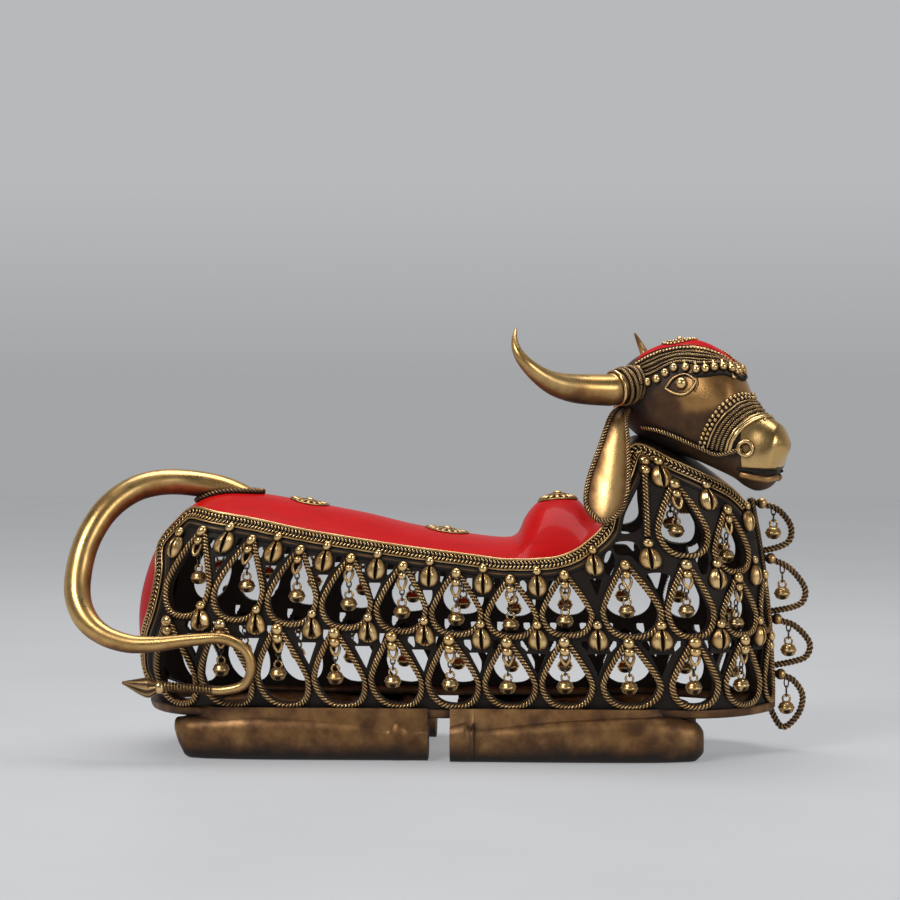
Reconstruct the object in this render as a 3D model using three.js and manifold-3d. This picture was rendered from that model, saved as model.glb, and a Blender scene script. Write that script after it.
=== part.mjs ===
// Reclining nandi bull: a hollow openwork brass casting with small bells hung in its loops.
// Millimetres, +Z up, head towards +X. The bull's right side, which carries the turned head, is -Y.
import * as THREE from "three";
import { mergeVertices } from "three/addons/utils/BufferGeometryUtils.js";
import Module from "manifold-3d";

const wasm = await Module();
wasm.setup();

// Body: a hollow shell, straight-sided in plan with rounded ends
const bodyWidth = 140;
const chestX = 247; // the chest's centre line, level with its lowest edge
const chestLean = 18; // how far the chest falls back at chestLeanHeight above that edge
const chestLeanHeight = 165;
const rumpX = -247; // the rump where it stands out most
const rumpPull = 16; // how far the rump falls back at rumpPullHeight above or below that level
const rumpPullHeight = 75;
const rumpLevel = 100;
const chestRound = 100; // length of the rounded front
const rumpRound = 70; // length of the rounded rear
const sideLevel = 95; // height at which the sides stand out most
const sideTuck = 0.1; // share of the half width lost at sideTuckHeight above or below that level
const sideTuckHeight = 75;
const wallThickness = 5;
const backThickness = 4.5;
const rimZ = 36; // bottom edge of the body
const rimHeight = 7;
const bandWidth = 9; // braided bands and ropes that edge the body
const bandProud = 1.8; // how far a band stands out from the wall on both faces

// Openwork: two rows of drop-shaped loops along each side, and two more loops in the neck
const frontArc = 135; // lengths along the wall of the rounded front, the flank and the rounded rear
const flankArc = 320;
const rearArc = 110;
const lowerEnd = 70; // distance along the wall of a row's last loop from the rump's centre line
const upperEnd = 83;
const shoulderPitch = 48;
const columns = 12;
const lowerLoopWidth = 34;
const upperLoopWidth = 33;
const chestLoopWidths = [26, 31, 28, 37]; // the first four loops of both rows, round the chest
const loopGap = 7; // the wall left between the two rows
const lowerLoopBottom = 43;
const gapWidth = 15; // of the openings under the middle cowries
const gapHeight = 15;
const cowrieLength = 20;
const cowrieWidth = 16;
const cowrieHeight = 5;

// Bells
const bellRadius = 6.5;
const bellHalfHeight = 5;
const bellDrop = 31; // from a loop's peak to the middle of its bell
const eyeDrop = 8.2; // from a loop's peak to the middle of its eye
const eyeHalfWidth = 2.6;
const eyeHalfHeight = 3;
const linkWire = 1.5;
const linkSlack = 2.4; // room on each side of the wall inside a link, for the wall's slope too

// Legs
const legHeight = 32;
const legWidth = 33;
const legCentreY = 60;
const frontLegCentreY = 65;
const legBulge = 1.09; // the eight-sided section's corners stand this much outside its half sizes

// Head: its own frame has its origin between the horns, x towards the muzzle, y to the bull's left
const pollX = 150;
const pollY = -10;
const pollZ = 284;
const headTurn = -27 * (Math.PI / 180);
const headSides = 10;
const nosebandProud = 2.5;
const hornRadius = 12.5;
const earThickness = 4.5;

// Tail and chest loops
const tailRadius = 11;
const fringeRope = 6;
const stripRadius = 6;

const brass = new THREE.MeshStandardMaterial({ color: 0xb08a4a, roughness: 0.35, metalness: 1 });
const bellBrass = new THREE.MeshStandardMaterial({ color: 0xa5854c, roughness: 0.4, metalness: 1 });

// The body's surface

const chestAt = (z) => chestX - chestLean * ((z - rimZ) / chestLeanHeight) ** 2;
const rumpAt = (z) => rumpX + rumpPull * ((z - rumpLevel) / rumpPullHeight) ** 2;
const halfWidthAt = (z) => (bodyWidth / 2) * (1 - sideTuck * ((z - sideLevel) / sideTuckHeight) ** 2);

// The wall at a distance u from the chest's centre line and a height z; side is -1 right, 1 left
function wallPoint(u, z, side) {
  const front = chestAt(z) - chestRound;
  const rear = rumpAt(z) + rumpRound;
  const half = halfWidthAt(z);
  if (u < frontArc) {
    const turn = (u / frontArc) * (Math.PI / 2);
    return new THREE.Vector3(front + chestRound * Math.cos(turn), side * half * Math.sin(turn), z);
  }
  if (u < frontArc + flankArc) {
    const share = (u - frontArc) / flankArc;
    return new THREE.Vector3(front + (rear - front) * share, side * half, z);
  }
  const turn = ((frontArc + flankArc + rearArc - u) / rearArc) * (Math.PI / 2);
  return new THREE.Vector3(rear - rumpRound * Math.cos(turn), side * half * Math.sin(turn), z);
}

// The same wall found by its place along the body
function wallU(x, z) {
  const front = chestAt(z) - chestRound;
  const rear = rumpAt(z) + rumpRound;
  if (x > front) return (Math.acos(Math.min(1, (x - front) / chestRound)) / (Math.PI / 2)) * frontArc;
  if (x > rear) return frontArc + ((x - front) / (rear - front)) * flankArc;
  const turn = Math.acos(Math.min(1, (rear - x) / rumpRound));
  return frontArc + flankArc + rearArc * (1 - turn / (Math.PI / 2));
}

function wallNormal(u, z, side) {
  const along = wallPoint(u + 0.5, z, side).sub(wallPoint(u - 0.5, z, side));
  const up = wallPoint(u, z + 0.5, side).sub(wallPoint(u, z - 0.5, side));
  return along.cross(up).multiplyScalar(side).normalize();
}

// Stations along the middle of the back, from under the rump over back, hump and nape to the throat:
// [x and z on the centre line, x and z of the wall's top edge beside it]
const backStations = [
  [-234, 48, -231, 48],
  [-243, 66, -239, 66],
  [-247, 92, -238, 92],
  [-246, 116, -231, 113],
  [-240, 140, -226, 137],
  [-232, 158, -225, 160],
  [-219, 177, -211, 178],
  [-201, 192, -197, 189],
  [-178, 200, -176, 186],
  [-146, 198, -146, 181],
  [-110, 191.5, -110, 173.5],
  [-70, 184, -70, 167],
  [-30, 174.5, -30, 161],
  [10, 168, 10, 156],
  [38, 165, 36, 152.5],
  [49, 168, 48, 152],
  [56, 182, 58, 152],
  [66, 193, 68, 152.5],
  [80, 198, 81, 154],
  [95, 195, 94, 159],
  [104, 186, 105, 167],
  [112, 178, 115, 177],
  [117, 190, 119, 192],
  [125, 218, 127, 216],
  [138, 244, 139, 238],
  [168, 237, 168, 226],
  [190, 224, 190, 216],
  [212, 208, 211, 205],
  [226, 194, 222, 194],
];

// Where the bottom band bends: at thirds of the rounded front and rear
const rimPlaces = [0, 1 / 3, 2 / 3, 1].map((share) => frontArc * share);
rimPlaces.push(...[0, 1 / 3, 2 / 3, 0.97].map((share) => frontArc + flankArc + rearArc * share));

// The top edge of the wall as [u, z], from the rump to the throat
const topEdge = backStations.map(([, , x, z]) => new THREE.Vector2(wallU(x, z), z));

function topZ(u) {
  for (let i = 1; i < topEdge.length; i++) {
    const [a, b] = [topEdge[i - 1], topEdge[i]];
    if (u <= a.x && u >= b.x) return a.y + ((b.y - a.y) * (a.x - u)) / (a.x - b.x);
  }
  return topEdge.at(-1).y;
}

// Solids

// A solid from rings of points, all of one size, with both ends closed flat
function loft(rings) {
  const n = rings[0].length;
  const position = rings.flat().flatMap((p) => [p.x, p.y, p.z]);
  const index = [];
  for (let r = 0; r + 1 < rings.length; r++) {
    for (let i = 0; i < n; i++) {
      const a = r * n + i;
      const b = r * n + ((i + 1) % n);
      index.push(a, b, b + n, a, b + n, a + n);
    }
  }
  const last = (rings.length - 1) * n;
  for (let i = 1; i + 1 < n; i++) {
    index.push(0, i + 1, i);
    index.push(last, last + i, last + i + 1);
  }
  const geometry = new THREE.BufferGeometry();
  geometry.setAttribute("position", new THREE.Float32BufferAttribute(position, 3));
  geometry.setIndex(index);
  return geometry;
}

function toSolid(geometry) {
  const bare = geometry.clone();
  bare.deleteAttribute("normal");
  bare.deleteAttribute("uv");
  const merged = mergeVertices(bare, 1e-4);
  const points = Float32Array.from(merged.attributes.position.array);
  const build = (tris) =>
    new wasm.Manifold(new wasm.Mesh({ numProp: 3, vertProperties: points, triVerts: tris }));
  const tris = Uint32Array.from(merged.index.array);
  const solid = build(tris);
  return solid.volume() > 0 ? solid : build(tris.toReversed());
}

const union = (solids) => wasm.Manifold.union(solids);

function toGeometry(solid) {
  const mesh = solid.getMesh();
  const geometry = new THREE.BufferGeometry();
  geometry.setAttribute("position", new THREE.Float32BufferAttribute(mesh.vertProperties, 3));
  geometry.setIndex(Array.from(mesh.triVerts));
  return geometry;
}

// A rope or wire: a round bar of few sides along points, each with its own radius. Its section is
// set out from a direction that the bar never runs along.
function bar(points, radii, sides = 6, reference = new THREE.Vector3(0, 1, 0)) {
  const rings = points.map((p, i) => {
    const after = points[Math.min(i + 1, points.length - 1)];
    const along = after.clone().sub(points[Math.max(i - 1, 0)]).normalize();
    const u = reference.clone().cross(along).normalize();
    const v = along.clone().cross(u);
    const r = Array.isArray(radii) ? radii[i] : radii;
    return Array.from({ length: sides }, (_, k) => {
      const turn = (2 * Math.PI * (k + 0.5)) / sides;
      return p
        .clone()
        .addScaledVector(u, r * Math.cos(turn))
        .addScaledVector(v, r * Math.sin(turn));
    });
  });
  return toSolid(loft(rings));
}

// The openwork walls

// One loop's opening: pointed above, round below, with a drop for the bell's eye where one hangs
function loopHole(u, top, bottom, width, hasEye) {
  const height = top - bottom;
  const half = [
    [0.33, 0.24],
    [0.5, 0.6],
    [0.28, 1],
  ].map(([w, h]) => [w * width, h * height]);
  const peak = [[0, 0]];
  const drop = [
    [-eyeHalfWidth * 2, eyeDrop - 2],
    [-eyeHalfWidth, eyeDrop + eyeHalfHeight + 1.4],
    [eyeHalfWidth, eyeDrop + eyeHalfHeight + 1.4],
    [eyeHalfWidth * 2, eyeDrop - 2],
  ];
  const left = half.map(([w, h]) => [-w, h]).toReversed();
  const outline = [...left, ...(hasEye ? drop : peak), ...half];
  return outline.map(([du, dz]) => new THREE.Vector2(u + du, top - dz));
}

function eyeHole(u, top) {
  return [
    new THREE.Vector2(u, top - eyeDrop + eyeHalfHeight),
    new THREE.Vector2(u - eyeHalfWidth, top - eyeDrop),
    new THREE.Vector2(u, top - eyeDrop - eyeHalfHeight),
    new THREE.Vector2(u + eyeHalfWidth, top - eyeDrop),
  ];
}

// The middles of a row's loops: three on the chest, two at the shoulder, the rest evenly on the flank
function columnsOfRow(shoulder, end) {
  const places = [0.15, 0.45, 0.75, shoulder].map((share) => frontArc * share);
  places.push(places[3] + shoulderPitch);
  const left = columns - places.length;
  const flankPitch = (frontArc + flankArc + rearArc - end - places[4]) / left;
  for (let k = 0; k < left; k++) places.push(places[4 + k] + flankPitch);
  return places;
}

const lowerColumns = columnsOfRow(1.08, lowerEnd);
const upperColumns = columnsOfRow(1.055, upperEnd);
const neckEnd = frontArc + 40;
const middleZ = (u) => (u < neckEnd ? 93 : 93 + 0.42 * Math.max(0, Math.min(topZ(u), 186) - 153));

// Every loop of one side: its middle, top, bottom and width, and the name of the bell in it, if any
function loopsOfSide() {
  const lower = lowerColumns.map((u, k) => ({
    u,
    top: middleZ(u) - loopGap + 1,
    bottom: lowerLoopBottom,
    width: chestLoopWidths[k] ?? lowerLoopWidth,
    bell: k >= 1 && k <= 10 ? `lower_${11 - k}` : null,
  }));
  const upper = upperColumns.map((u, k) => ({
    u,
    top: k < 2 ? 134 : k < 4 ? 145 : topZ(u) - 18,
    bottom: middleZ(u) + loopGap / 2,
    width: chestLoopWidths[k] ?? upperLoopWidth,
    bell: k >= 1 ? `upper_${12 - k}` : null,
  }));
  const neck = [
    { u: frontArc * 0.73, top: 205, bottom: 157, width: 31, bell: "neck_1" },
    { u: frontArc * 0.445, top: 185, bottom: 144, width: 31, bell: "neck_2" },
    { u: frontArc * 0.975, top: 209, bottom: 173, width: 20, bell: null },
  ];
  return [...lower, ...upper, ...neck];
}

// Cowries hang between neighbouring loops: under the top band, between the rows and in the neck
function cowriePlaces() {
  const between = (row, k) => (row[k - 1] + row[k]) / 2;
  const places = [
    [frontArc * 0.785, 213],
    [frontArc * 0.55, 195],
    [frontArc * 0.25, 178],
    [frontArc * 0.92, 152],
    [frontArc * 0.58, 136],
    [frontArc * 0.275, 137],
  ];
  for (let k = 1; k < columns; k++) {
    const upper = between(upperColumns, k);
    const middle = (upper + between(lowerColumns, k)) / 2;
    places.push([middle, middleZ(middle) - 2]);
    if (k >= 4) places.push([upper, topZ(upper) - 21]);
  }
  return places;
}

// Openings under the middle row of cowries, between the lower loops
function gapsUnderCowries() {
  const outline = [
    [-gapWidth / 2, 0],
    [0, -gapHeight],
    [gapWidth / 2, 0],
  ];
  return lowerColumns.slice(1).map((u, k) => {
    const middle = (lowerColumns[k] + u) / 2;
    const top = middleZ(middle) - 2 - cowrieLength / 2 - 2;
    return outline.map(([du, dz]) => new THREE.Vector2(middle + du, top + dz));
  });
}

const cowrieOutline = ([u, z], share = 1) =>
  [0, 1, 2, 3].map((k) => {
    const turn = (k * Math.PI) / 2;
    const [wide, long] = [(cowrieWidth / 2) * share, (cowrieLength / 2) * share];
    return new THREE.Vector2(u + wide * Math.sin(turn), z + long * Math.cos(turn));
  });

// Triangles of a flat outline with openings in it. Shared edges are turned until the triangles are
// as compact as they can be, so that they follow the rounded chest and rump when they are bent.
function triangulate(outline, openings) {
  const points = [outline, ...openings].flat();
  const triangles = THREE.ShapeUtils.triangulateShape(outline, openings);
  const area = (a, b, c) => points[b].clone().sub(points[a]).cross(points[c].clone().sub(points[a]));
  const facing = Math.sign(triangles.reduce((sum, tri) => sum + area(...tri), 0));
  const angle = (a, b, c) => {
    const [p, q] = [points[a].clone().sub(points[b]), points[c].clone().sub(points[b])];
    return Math.abs(Math.atan2(p.cross(q), p.dot(q)));
  };
  for (let turned = true; turned; ) {
    turned = false;
    const owners = new Map();
    triangles.forEach((tri, t) => {
      tri.forEach((a, k) => owners.set(`${a} ${tri[(k + 1) % 3]}`, t));
    });
    const done = new Set();
    for (const [edge, s] of owners) {
      const [a, b] = edge.split(" ").map(Number);
      const t = owners.get(`${b} ${a}`);
      if (t === undefined || done.has(s) || done.has(t)) continue;
      const c = triangles[s].find((v) => v !== a && v !== b);
      const d = triangles[t].find((v) => v !== a && v !== b);
      const open = Math.min(area(a, d, c) * facing, area(d, b, c) * facing);
      if (open < 1e-3 || angle(a, c, b) + angle(a, d, b) < Math.PI + 1e-6) continue;
      triangles[s] = [a, d, c];
      triangles[t] = [d, b, c];
      done.add(s).add(t);
      turned = true;
    }
  }
  return triangles;
}

// A wall: its outline and openings bent onto the body's surface, with the cowries raised on its face
function wall(side) {
  const lastFoot = rimPlaces.at(-3);
  const feet = [0, ...lowerColumns.filter((u) => u < lastFoot), lastFoot];
  const bottom = feet.map((u) => new THREE.Vector2(u, rimZ));
  const chest = [0, 1, 2, 3].map((k) => new THREE.Vector2(0, 190 - (k * (190 - rimZ)) / 4));
  const outline = [...bottom, ...topEdge, ...chest];
  const openings = gapsUnderCowries();
  for (const { u, top, bottom: low, width, bell } of loopsOfSide()) {
    openings.push(loopHole(u, top, low, width, bell));
    if (bell) openings.push(eyeHole(u, top));
  }
  const cowries = cowriePlaces();
  const cowrieBases = cowries.map((place) => cowrieOutline(place));
  const position = [];
  const index = [];
  const put = (points, out) => {
    const first = position.length / 3;
    for (const { x: u, y: z } of points) {
      position.push(...wallPoint(u, z, side).addScaledVector(wallNormal(u, z, side), out));
    }
    return first;
  };
  const skirt = (a, b, n) => {
    for (let i = 0; i < n; i++) {
      const j = (i + 1) % n;
      index.push(a + i, a + j, b + j, a + i, b + j, b + i);
    }
  };
  // faces: openings turn the other way round from the outline
  const clockwise = THREE.ShapeUtils.isClockWise;
  const rightWay = (points, ccw) => (clockwise(points) === ccw ? points.toReversed() : points);
  const rims = [rightWay(outline, true), ...openings.map((hole) => rightWay(hole, false))];
  const bases = cowrieBases.map((base) => rightWay(base, false));
  const outerFace = put([...rims, ...bases].flat(), 0);
  for (const [a, b, c] of triangulate(rims[0], [...rims.slice(1), ...bases])) {
    index.push(outerFace + a, outerFace + b, outerFace + c);
  }
  const innerFace = put(rims.flat(), -wallThickness);
  for (const [a, b, c] of triangulate(rims[0], rims.slice(1))) {
    index.push(innerFace + a, innerFace + c, innerFace + b);
  }
  let at = 0;
  for (const rimLine of rims) {
    skirt(innerFace + at, outerFace + at, rimLine.length);
    at += rimLine.length;
  }
  for (const place of cowries) {
    const ridge = put(rightWay(cowrieOutline(place, 0.5), false), cowrieHeight);
    skirt(ridge, outerFace + at, 4);
    index.push(ridge, ridge + 2, ridge + 1, ridge, ridge + 3, ridge + 2);
    at += 4;
  }
  const geometry = new THREE.BufferGeometry();
  geometry.setAttribute("position", new THREE.Float32BufferAttribute(position, 3));
  geometry.setIndex(index);
  return toSolid(geometry);
}

// Back, hump, rump, nape and the cover of the neck, as one plate across the body. Its two edges are
// the braided bands: lips that stand out from the walls and take in their top edges.
function backPlate() {
  const across = [-0.6, 0, 0.6];
  const rings = backStations.map(([x, z, edgeX], i) => {
    const { x: u, y: edgeZ } = topEdge[i];
    const before = topEdge[Math.max(i - 1, 0)];
    const after = topEdge[Math.min(i + 1, topEdge.length - 1)];
    const run = after.clone().sub(before);
    const into = new THREE.Vector2(-run.y, run.x).setLength(bandWidth);
    const lip = (side, depth, out) => {
      const [lipU, lipZ] = [u + into.x * depth, edgeZ + into.y * depth];
      return wallPoint(lipU, lipZ, side).addScaledVector(wallNormal(lipU, lipZ, side), out);
    };
    const rise = (t, sunk) => {
      const share = 1 - t * t;
      const edge = lip(Math.sign(t) || 1, 0, 0);
      const [atX, atZ] = [edgeX + (x - edgeX) * share, edgeZ + (z - edgeZ) * share];
      return new THREE.Vector3(atX, edge.y * Math.abs(t), atZ).addScaledVector(inwardAt(i), sunk);
    };
    const innerLip = -wallThickness - bandProud;
    return [
      lip(-1, 1, innerLip),
      lip(-1, 1, bandProud),
      lip(-1, -0.15, bandProud),
      ...across.map((t) => rise(t, 0)),
      lip(1, -0.15, bandProud),
      lip(1, 1, bandProud),
      lip(1, 1, innerLip),
      ...across.toReversed().map((t) => rise(t, backThickness)),
    ];
  });
  return toSolid(loft(rings));
}

// The direction into the body from the middle of the back, square to its outline
function inwardAt(i) {
  const [beforeX, beforeZ] = backStations[Math.max(i - 1, 0)];
  const [afterX, afterZ] = backStations[Math.min(i + 1, backStations.length - 1)];
  return new THREE.Vector3(afterZ - beforeZ, 0, beforeX - afterX).normalize();
}

// The plain band along the bottom of a wall
function rim(side) {
  const rings = rimPlaces.map((u) =>
    [
      [bandProud, rimHeight / 2],
      [bandProud, -rimHeight / 2],
      [-wallThickness - bandProud, -rimHeight / 2],
      [-wallThickness - bandProud, rimHeight / 2],
    ].map(([out, up]) => wallPoint(u, rimZ + up, side).addScaledVector(wallNormal(u, rimZ, side), out)),
  );
  return toSolid(loft(rings));
}

// The double rope and braid down the middle of the chest
function chestStrip() {
  const [top, low] = [backStations.at(-1)[1] + 2, rimZ - 2];
  const heights = [0, 1, 2, 3, 4].map((k) => top + ((low - top) * k) / 4);
  return bar(
    heights.map((z) => new THREE.Vector3(chestAt(z) - stripRadius / 2, 0, z)),
    stripRadius,
  );
}

// Legs: flat-bottomed bars with stations [x, half height, half width, y, lift from the ground]
function leg(stations, side) {
  const rings = stations.map(([x, high, wide, y, lift = 0]) =>
    Array.from({ length: 8 }, (_, k) => {
      const turn = ((k + 0.5) * Math.PI) / 4;
      const across = y + wide * legBulge * Math.cos(turn);
      return new THREE.Vector3(x, side * across, Math.max(0, lift + high * (1 + legBulge * Math.sin(turn))));
    }),
  );
  return toSolid(loft(rings));
}

function legs(side) {
  const half = legHeight / 2;
  const wide = legWidth / 2;
  const rear = [
    [-211, half * 0.3, wide * 0.7, legCentreY - 14, 19],
    [-206, half * 0.7, wide * 0.84, legCentreY - 11, 7],
    [-196, half * 0.98, wide * 0.93, legCentreY - 6],
    [-150, half * 1.1, wide, legCentreY],
    [-75, half, wide * 0.92, legCentreY],
    [-48, half * 0.86, wide * 0.85, legCentreY],
    [-40, half, wide * 0.92, legCentreY],
    [-17, half * 0.9, wide * 0.85, legCentreY],
  ];
  const front = [
    [0, half * 0.9, wide * 0.85, frontLegCentreY],
    [14, half, wide * 0.95, frontLegCentreY],
    [22, half * 0.86, wide * 0.86, frontLegCentreY],
    [80, half, wide * 0.96, frontLegCentreY],
    [150, half * 1.1, wide, frontLegCentreY - 2],
    [181, half * 0.95, wide * 0.88, frontLegCentreY - 8],
    [191, half * 0.5, wide * 0.6, frontLegCentreY - 12, 6],
  ];
  return [leg(rear, side), leg(front, side)];
}

// Head

const headFrame = new THREE.Matrix4().makeRotationZ(headTurn).setPosition(pollX, pollY, pollZ);
const onHead = (x, y, z) => new THREE.Vector3(x, y, z).applyMatrix4(headFrame);

// Cross sections [x, top, bottom, half width] from the nape to the muzzle
const headSections = [
  [-22, 10, -24, 18],
  [-8, 21, -38, 27],
  [6, 28, -46, 31],
  [22, 33, -52, 33],
  [40, 34, -57, 32],
  [58, 27, -64, 30],
  [74, 14, -71, 26.5],
  [83, -4, -77, 23],
  [92, -18, -80, 20],
  [102, -25.5, -76.5, 18],
  [108, -29.5, -67, 15.5],
  [111, -32, -58, 13],
  [115, -39, -51, 7],
];

function headRing([x, top, bottom, half], swell = 0) {
  return Array.from({ length: headSides }, (_, k) => {
    const turn = (2 * Math.PI * (k + 0.5)) / headSides;
    const high = (top - bottom) / 2 + swell;
    return onHead(x, (half + swell) * Math.cos(turn), (top + bottom) / 2 + high * Math.sin(turn));
  });
}

function headAt(x) {
  for (let i = 1; i < headSections.length; i++) {
    const [a, b] = [headSections[i - 1], headSections[i]];
    if (x <= b[0]) return a.map((v, k) => v + ((b[k] - v) * (x - a[0])) / (b[0] - a[0]));
  }
  return headSections.at(-1);
}

// A ring round the head that leans forwards at its top
function leaningRing(x, lean, swell) {
  return Array.from({ length: headSides }, (_, k) => {
    const turn = (2 * Math.PI * (k + 0.5)) / headSides;
    const rise = Math.sin(turn);
    const at = x + lean * Math.max(rise, rise / 3);
    const [, top, bottom, half] = headAt(at);
    const high = (top - bottom) / 2 + swell;
    return onHead(at, (half + swell) * Math.cos(turn), (top + bottom) / 2 + high * rise);
  });
}

function head() {
  const skull = toSolid(loft(headSections.map((s) => headRing(s))));
  const noseband = toSolid(loft([leaningRing(67, 22, nosebandProud), leaningRing(83, 16, nosebandProud)]));
  const eyes = [-1, 1].map((side) => {
    const points = [25, 33].map((out) => onHead(41.5, side * out, 0.5));
    return bar(points, [7, 4], 6, new THREE.Vector3(0, 0, 1));
  });
  const mouth = [-1, 1].map((side) => bar([onHead(83, side * 23, -62), onHead(110, side * 13, -65)], 1.8, 4));
  return union([skull, noseband, ...eyes]).subtract(union(mouth));
}

// The beaded edge of the cap, over the brow and back along both temples: [x, out, z]
function capEdge() {
  const temple = [
    [2, 31, -1],
    [22, 32, 4],
    [38, 29, 12],
    [50, 26, 12],
    [64, 18, 13],
  ];
  const row = (side) => temple.map(([x, out, z]) => onHead(x, side * out, z));
  const points = [...row(-1), onHead(76, 0.5, 10.5), ...row(1).toReversed()];
  return bar(points, 3.4, 5, new THREE.Vector3(0, 0, 1));
}

function horn(side) {
  const stations = [
    [6, 18, 0, 0.9],
    [-1, 31, 0, 1],
    [-3, 35, -1, 1.2],
    [-8, 44, -3, 1.2],
    [-10, 48, -4, 1],
    [-25, 69, -3, 0.93],
    [-34, 86, 0, 0.78],
    [-41, 99, 6, 0.6],
    [-48, 109, 15, 0.44],
    [-54, 112, 24, 0.32],
    [-58, 110, 33, 0.2],
    [-60, 104, 42, 0.07],
  ];
  const points = stations.map(([x, y, z]) => onHead(x, side * y, z));
  return bar(points, stations.map(([, , , share]) => hornRadius * share), 6, new THREE.Vector3(0, 0, 1));
}

// An ear hangs from behind the horn, hollowed on its outer face: [down, x, half width, out]. The left
// one lies further out, because the turned head brings it close to the neck.
function ear(side) {
  const stations = [
    [-2, -8, 4, 14],
    [8, -7, 6.5, 35],
    [30, -5, 11.5, 46],
    [56, -4, 16.5, 57],
    [75, -3.5, 15.5, 64],
    [86, -4, 5, 67],
  ];
  const rings = stations.map(([down, x, wide, out]) => {
    const further = side > 0 ? 13 * Math.min(1, Math.max(0, down - 8) / 48) : 0;
    const at = (share, sunk) => onHead(x + wide * share, side * (out + further + sunk), -16 - down);
    const dish = wide * 0.22;
    const outer = [at(-1, dish), at(0, 0), at(1, dish)];
    const inner = [at(1, dish - earThickness), at(0, -earThickness), at(-1, dish - earThickness)];
    return [...outer, ...inner];
  });
  return toSolid(loft(rings));
}

// Nose ring with the rope that runs back from it to the neck
function noseRing() {
  const sides = 8;
  const centre = onHead(92, -20, -46);
  const rings = Array.from({ length: sides + 1 }, (_, k) => {
    const turn = (2 * Math.PI * k) / sides;
    return centre.clone().add(new THREE.Vector3(6 * Math.cos(turn), 0, 6 * Math.sin(turn)));
  });
  const rope = [onHead(90, -21, -47), onHead(70, -25, -51), onHead(54, -28, -44), onHead(11, -30, -31)];
  return [bar(rings.slice(0, sides), 2, 4), bar(rope, 3, 5)];
}

// Tail: a tapering bar that curls out from the rump and back along the right side
function tail() {
  const stations = [
    [-150, 0, 188, 0.9],
    [-178, 0, 201, 1],
    [-206, -3, 207, 1],
    [-230, -12, 207.5, 1],
    [-251, -22, 201, 1],
    [-269, -35, 185, 1],
    [-282, -48, 160, 1],
    [-286, -60, 130, 1],
    [-279, -70, 110, 0.93],
    [-263, -77, 96, 0.8],
    [-242, -80, 89, 0.7],
    [-220, -81, 89, 0.58],
    [-194, -81, 92, 0.47],
    [-170, -81, 93, 0.42],
    [-154, -81, 85, 0.38],
    [-149, -81, 72, 0.37],
    [-154, -81, 59, 0.37],
    [-170, -80, 54, 0.35],
    [-190, -80, 55, 0.32],
    [-216, -80, 57, 0.32],
    [-223, -80, 55, 0.66],
    [-234, -80, 53, 0.75],
    [-247, -80, 60, 0.14],
  ];
  const points = stations.map(([x, y, z]) => new THREE.Vector3(x, y, z));
  return bar(points, stations.map(([, , , share]) => tailRadius * share), 6);
}

// The four rope loops down the chest, in the bull's middle plane:
// [x and z of the peak, x and z furthest out, x and z of the lowest point, x and z of its bell]
const chestLoops = [
  [236, 193, 261, 175, 252, 158, 248, 169],
  [243, 150, 272, 127, 262, 111, 255, 122],
  [248, 103, 276, 84, 264, 69, 260, 78],
  [251, 60, 271, 42, 255, 18, 258.5, 33],
];

function chestLoopCurve([peakX, peakZ, outX, outZ, lowX, lowZ]) {
  const lowRoot = Math.max(lowZ - 4, rimZ);
  return new THREE.CatmullRomCurve3(
    [
      [chestAt(peakZ) - 3, peakZ + 1],
      [peakX + 4, peakZ - 2],
      [(peakX + outX) / 2 + 3, (peakZ + outZ) / 2 + 3],
      [outX, outZ],
      [(outX + lowX) / 2 + 4, (outZ + lowZ) / 2 - 3],
      [lowX, lowZ],
      [chestAt(lowRoot) - 3, lowRoot],
    ].map(([x, z]) => new THREE.Vector3(x, 0, z)),
  );
}

const chestLoop = (place) => bar(chestLoopCurve(place).getPoints(9), fringeRope / 2, 5);

function chestBell(place) {
  const [x, z] = place.slice(-2);
  const rope = chestLoopCurve(place)
    .getPoints(60)
    .find((p) => p.x >= x);
  const eye = new THREE.Vector3(x, 0, rope.z + fringeRope * 0.65 + linkWire);
  return bell(eye, new THREE.Vector3(0, 1, 0), eye.z - z, fringeRope);
}

// A bell hung on a link: the link's flat lies across the wall, through the eye
function bell(eye, outwards, drop, inside) {
  const inner = inside / 2 + linkSlack;
  const outer = inner + linkWire;
  const tip = -drop + bellHalfHeight - 1;
  const shape = new THREE.Shape([
    new THREE.Vector2(-outer, linkWire / 2),
    new THREE.Vector2(0, tip),
    new THREE.Vector2(outer, linkWire / 2),
  ]);
  shape.holes.push(
    new THREE.Path([
      new THREE.Vector2(-inner, -linkWire / 2),
      new THREE.Vector2(inner, -linkWire / 2),
      new THREE.Vector2(0, tip + 3 * linkWire),
    ]),
  );
  const link = new THREE.ExtrudeGeometry(shape, { depth: linkWire, bevelEnabled: false });
  link.translate(0, 0, -linkWire / 2);
  const across = new THREE.Vector3(-outwards.y, outwards.x, 0);
  const frame = new THREE.Matrix4().makeBasis(outwards, new THREE.Vector3(0, 0, 1), across.negate());
  link.applyMatrix4(frame.setPosition(eye));
  const profile = [
    new THREE.Vector2(0, -bellHalfHeight),
    new THREE.Vector2(bellRadius, -bellHalfHeight * 0.1),
    new THREE.Vector2(0, bellHalfHeight),
  ];
  const body = new THREE.LatheGeometry(profile, 6);
  body.rotateX(Math.PI / 2);
  body.translate(eye.x, eye.y, eye.z - drop);
  return union([toSolid(link), toSolid(body)]);
}

function wallBell({ u, top }, side) {
  const z = top - eyeDrop;
  const normal = wallNormal(u, z, side);
  const eye = wallPoint(u, z, side).addScaledVector(normal, -wallThickness / 2);
  const outwards = new THREE.Vector3(normal.x, normal.y, 0).normalize();
  return bell(eye, outwards, bellDrop - eyeDrop, wallThickness);
}

// Assembly

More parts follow.
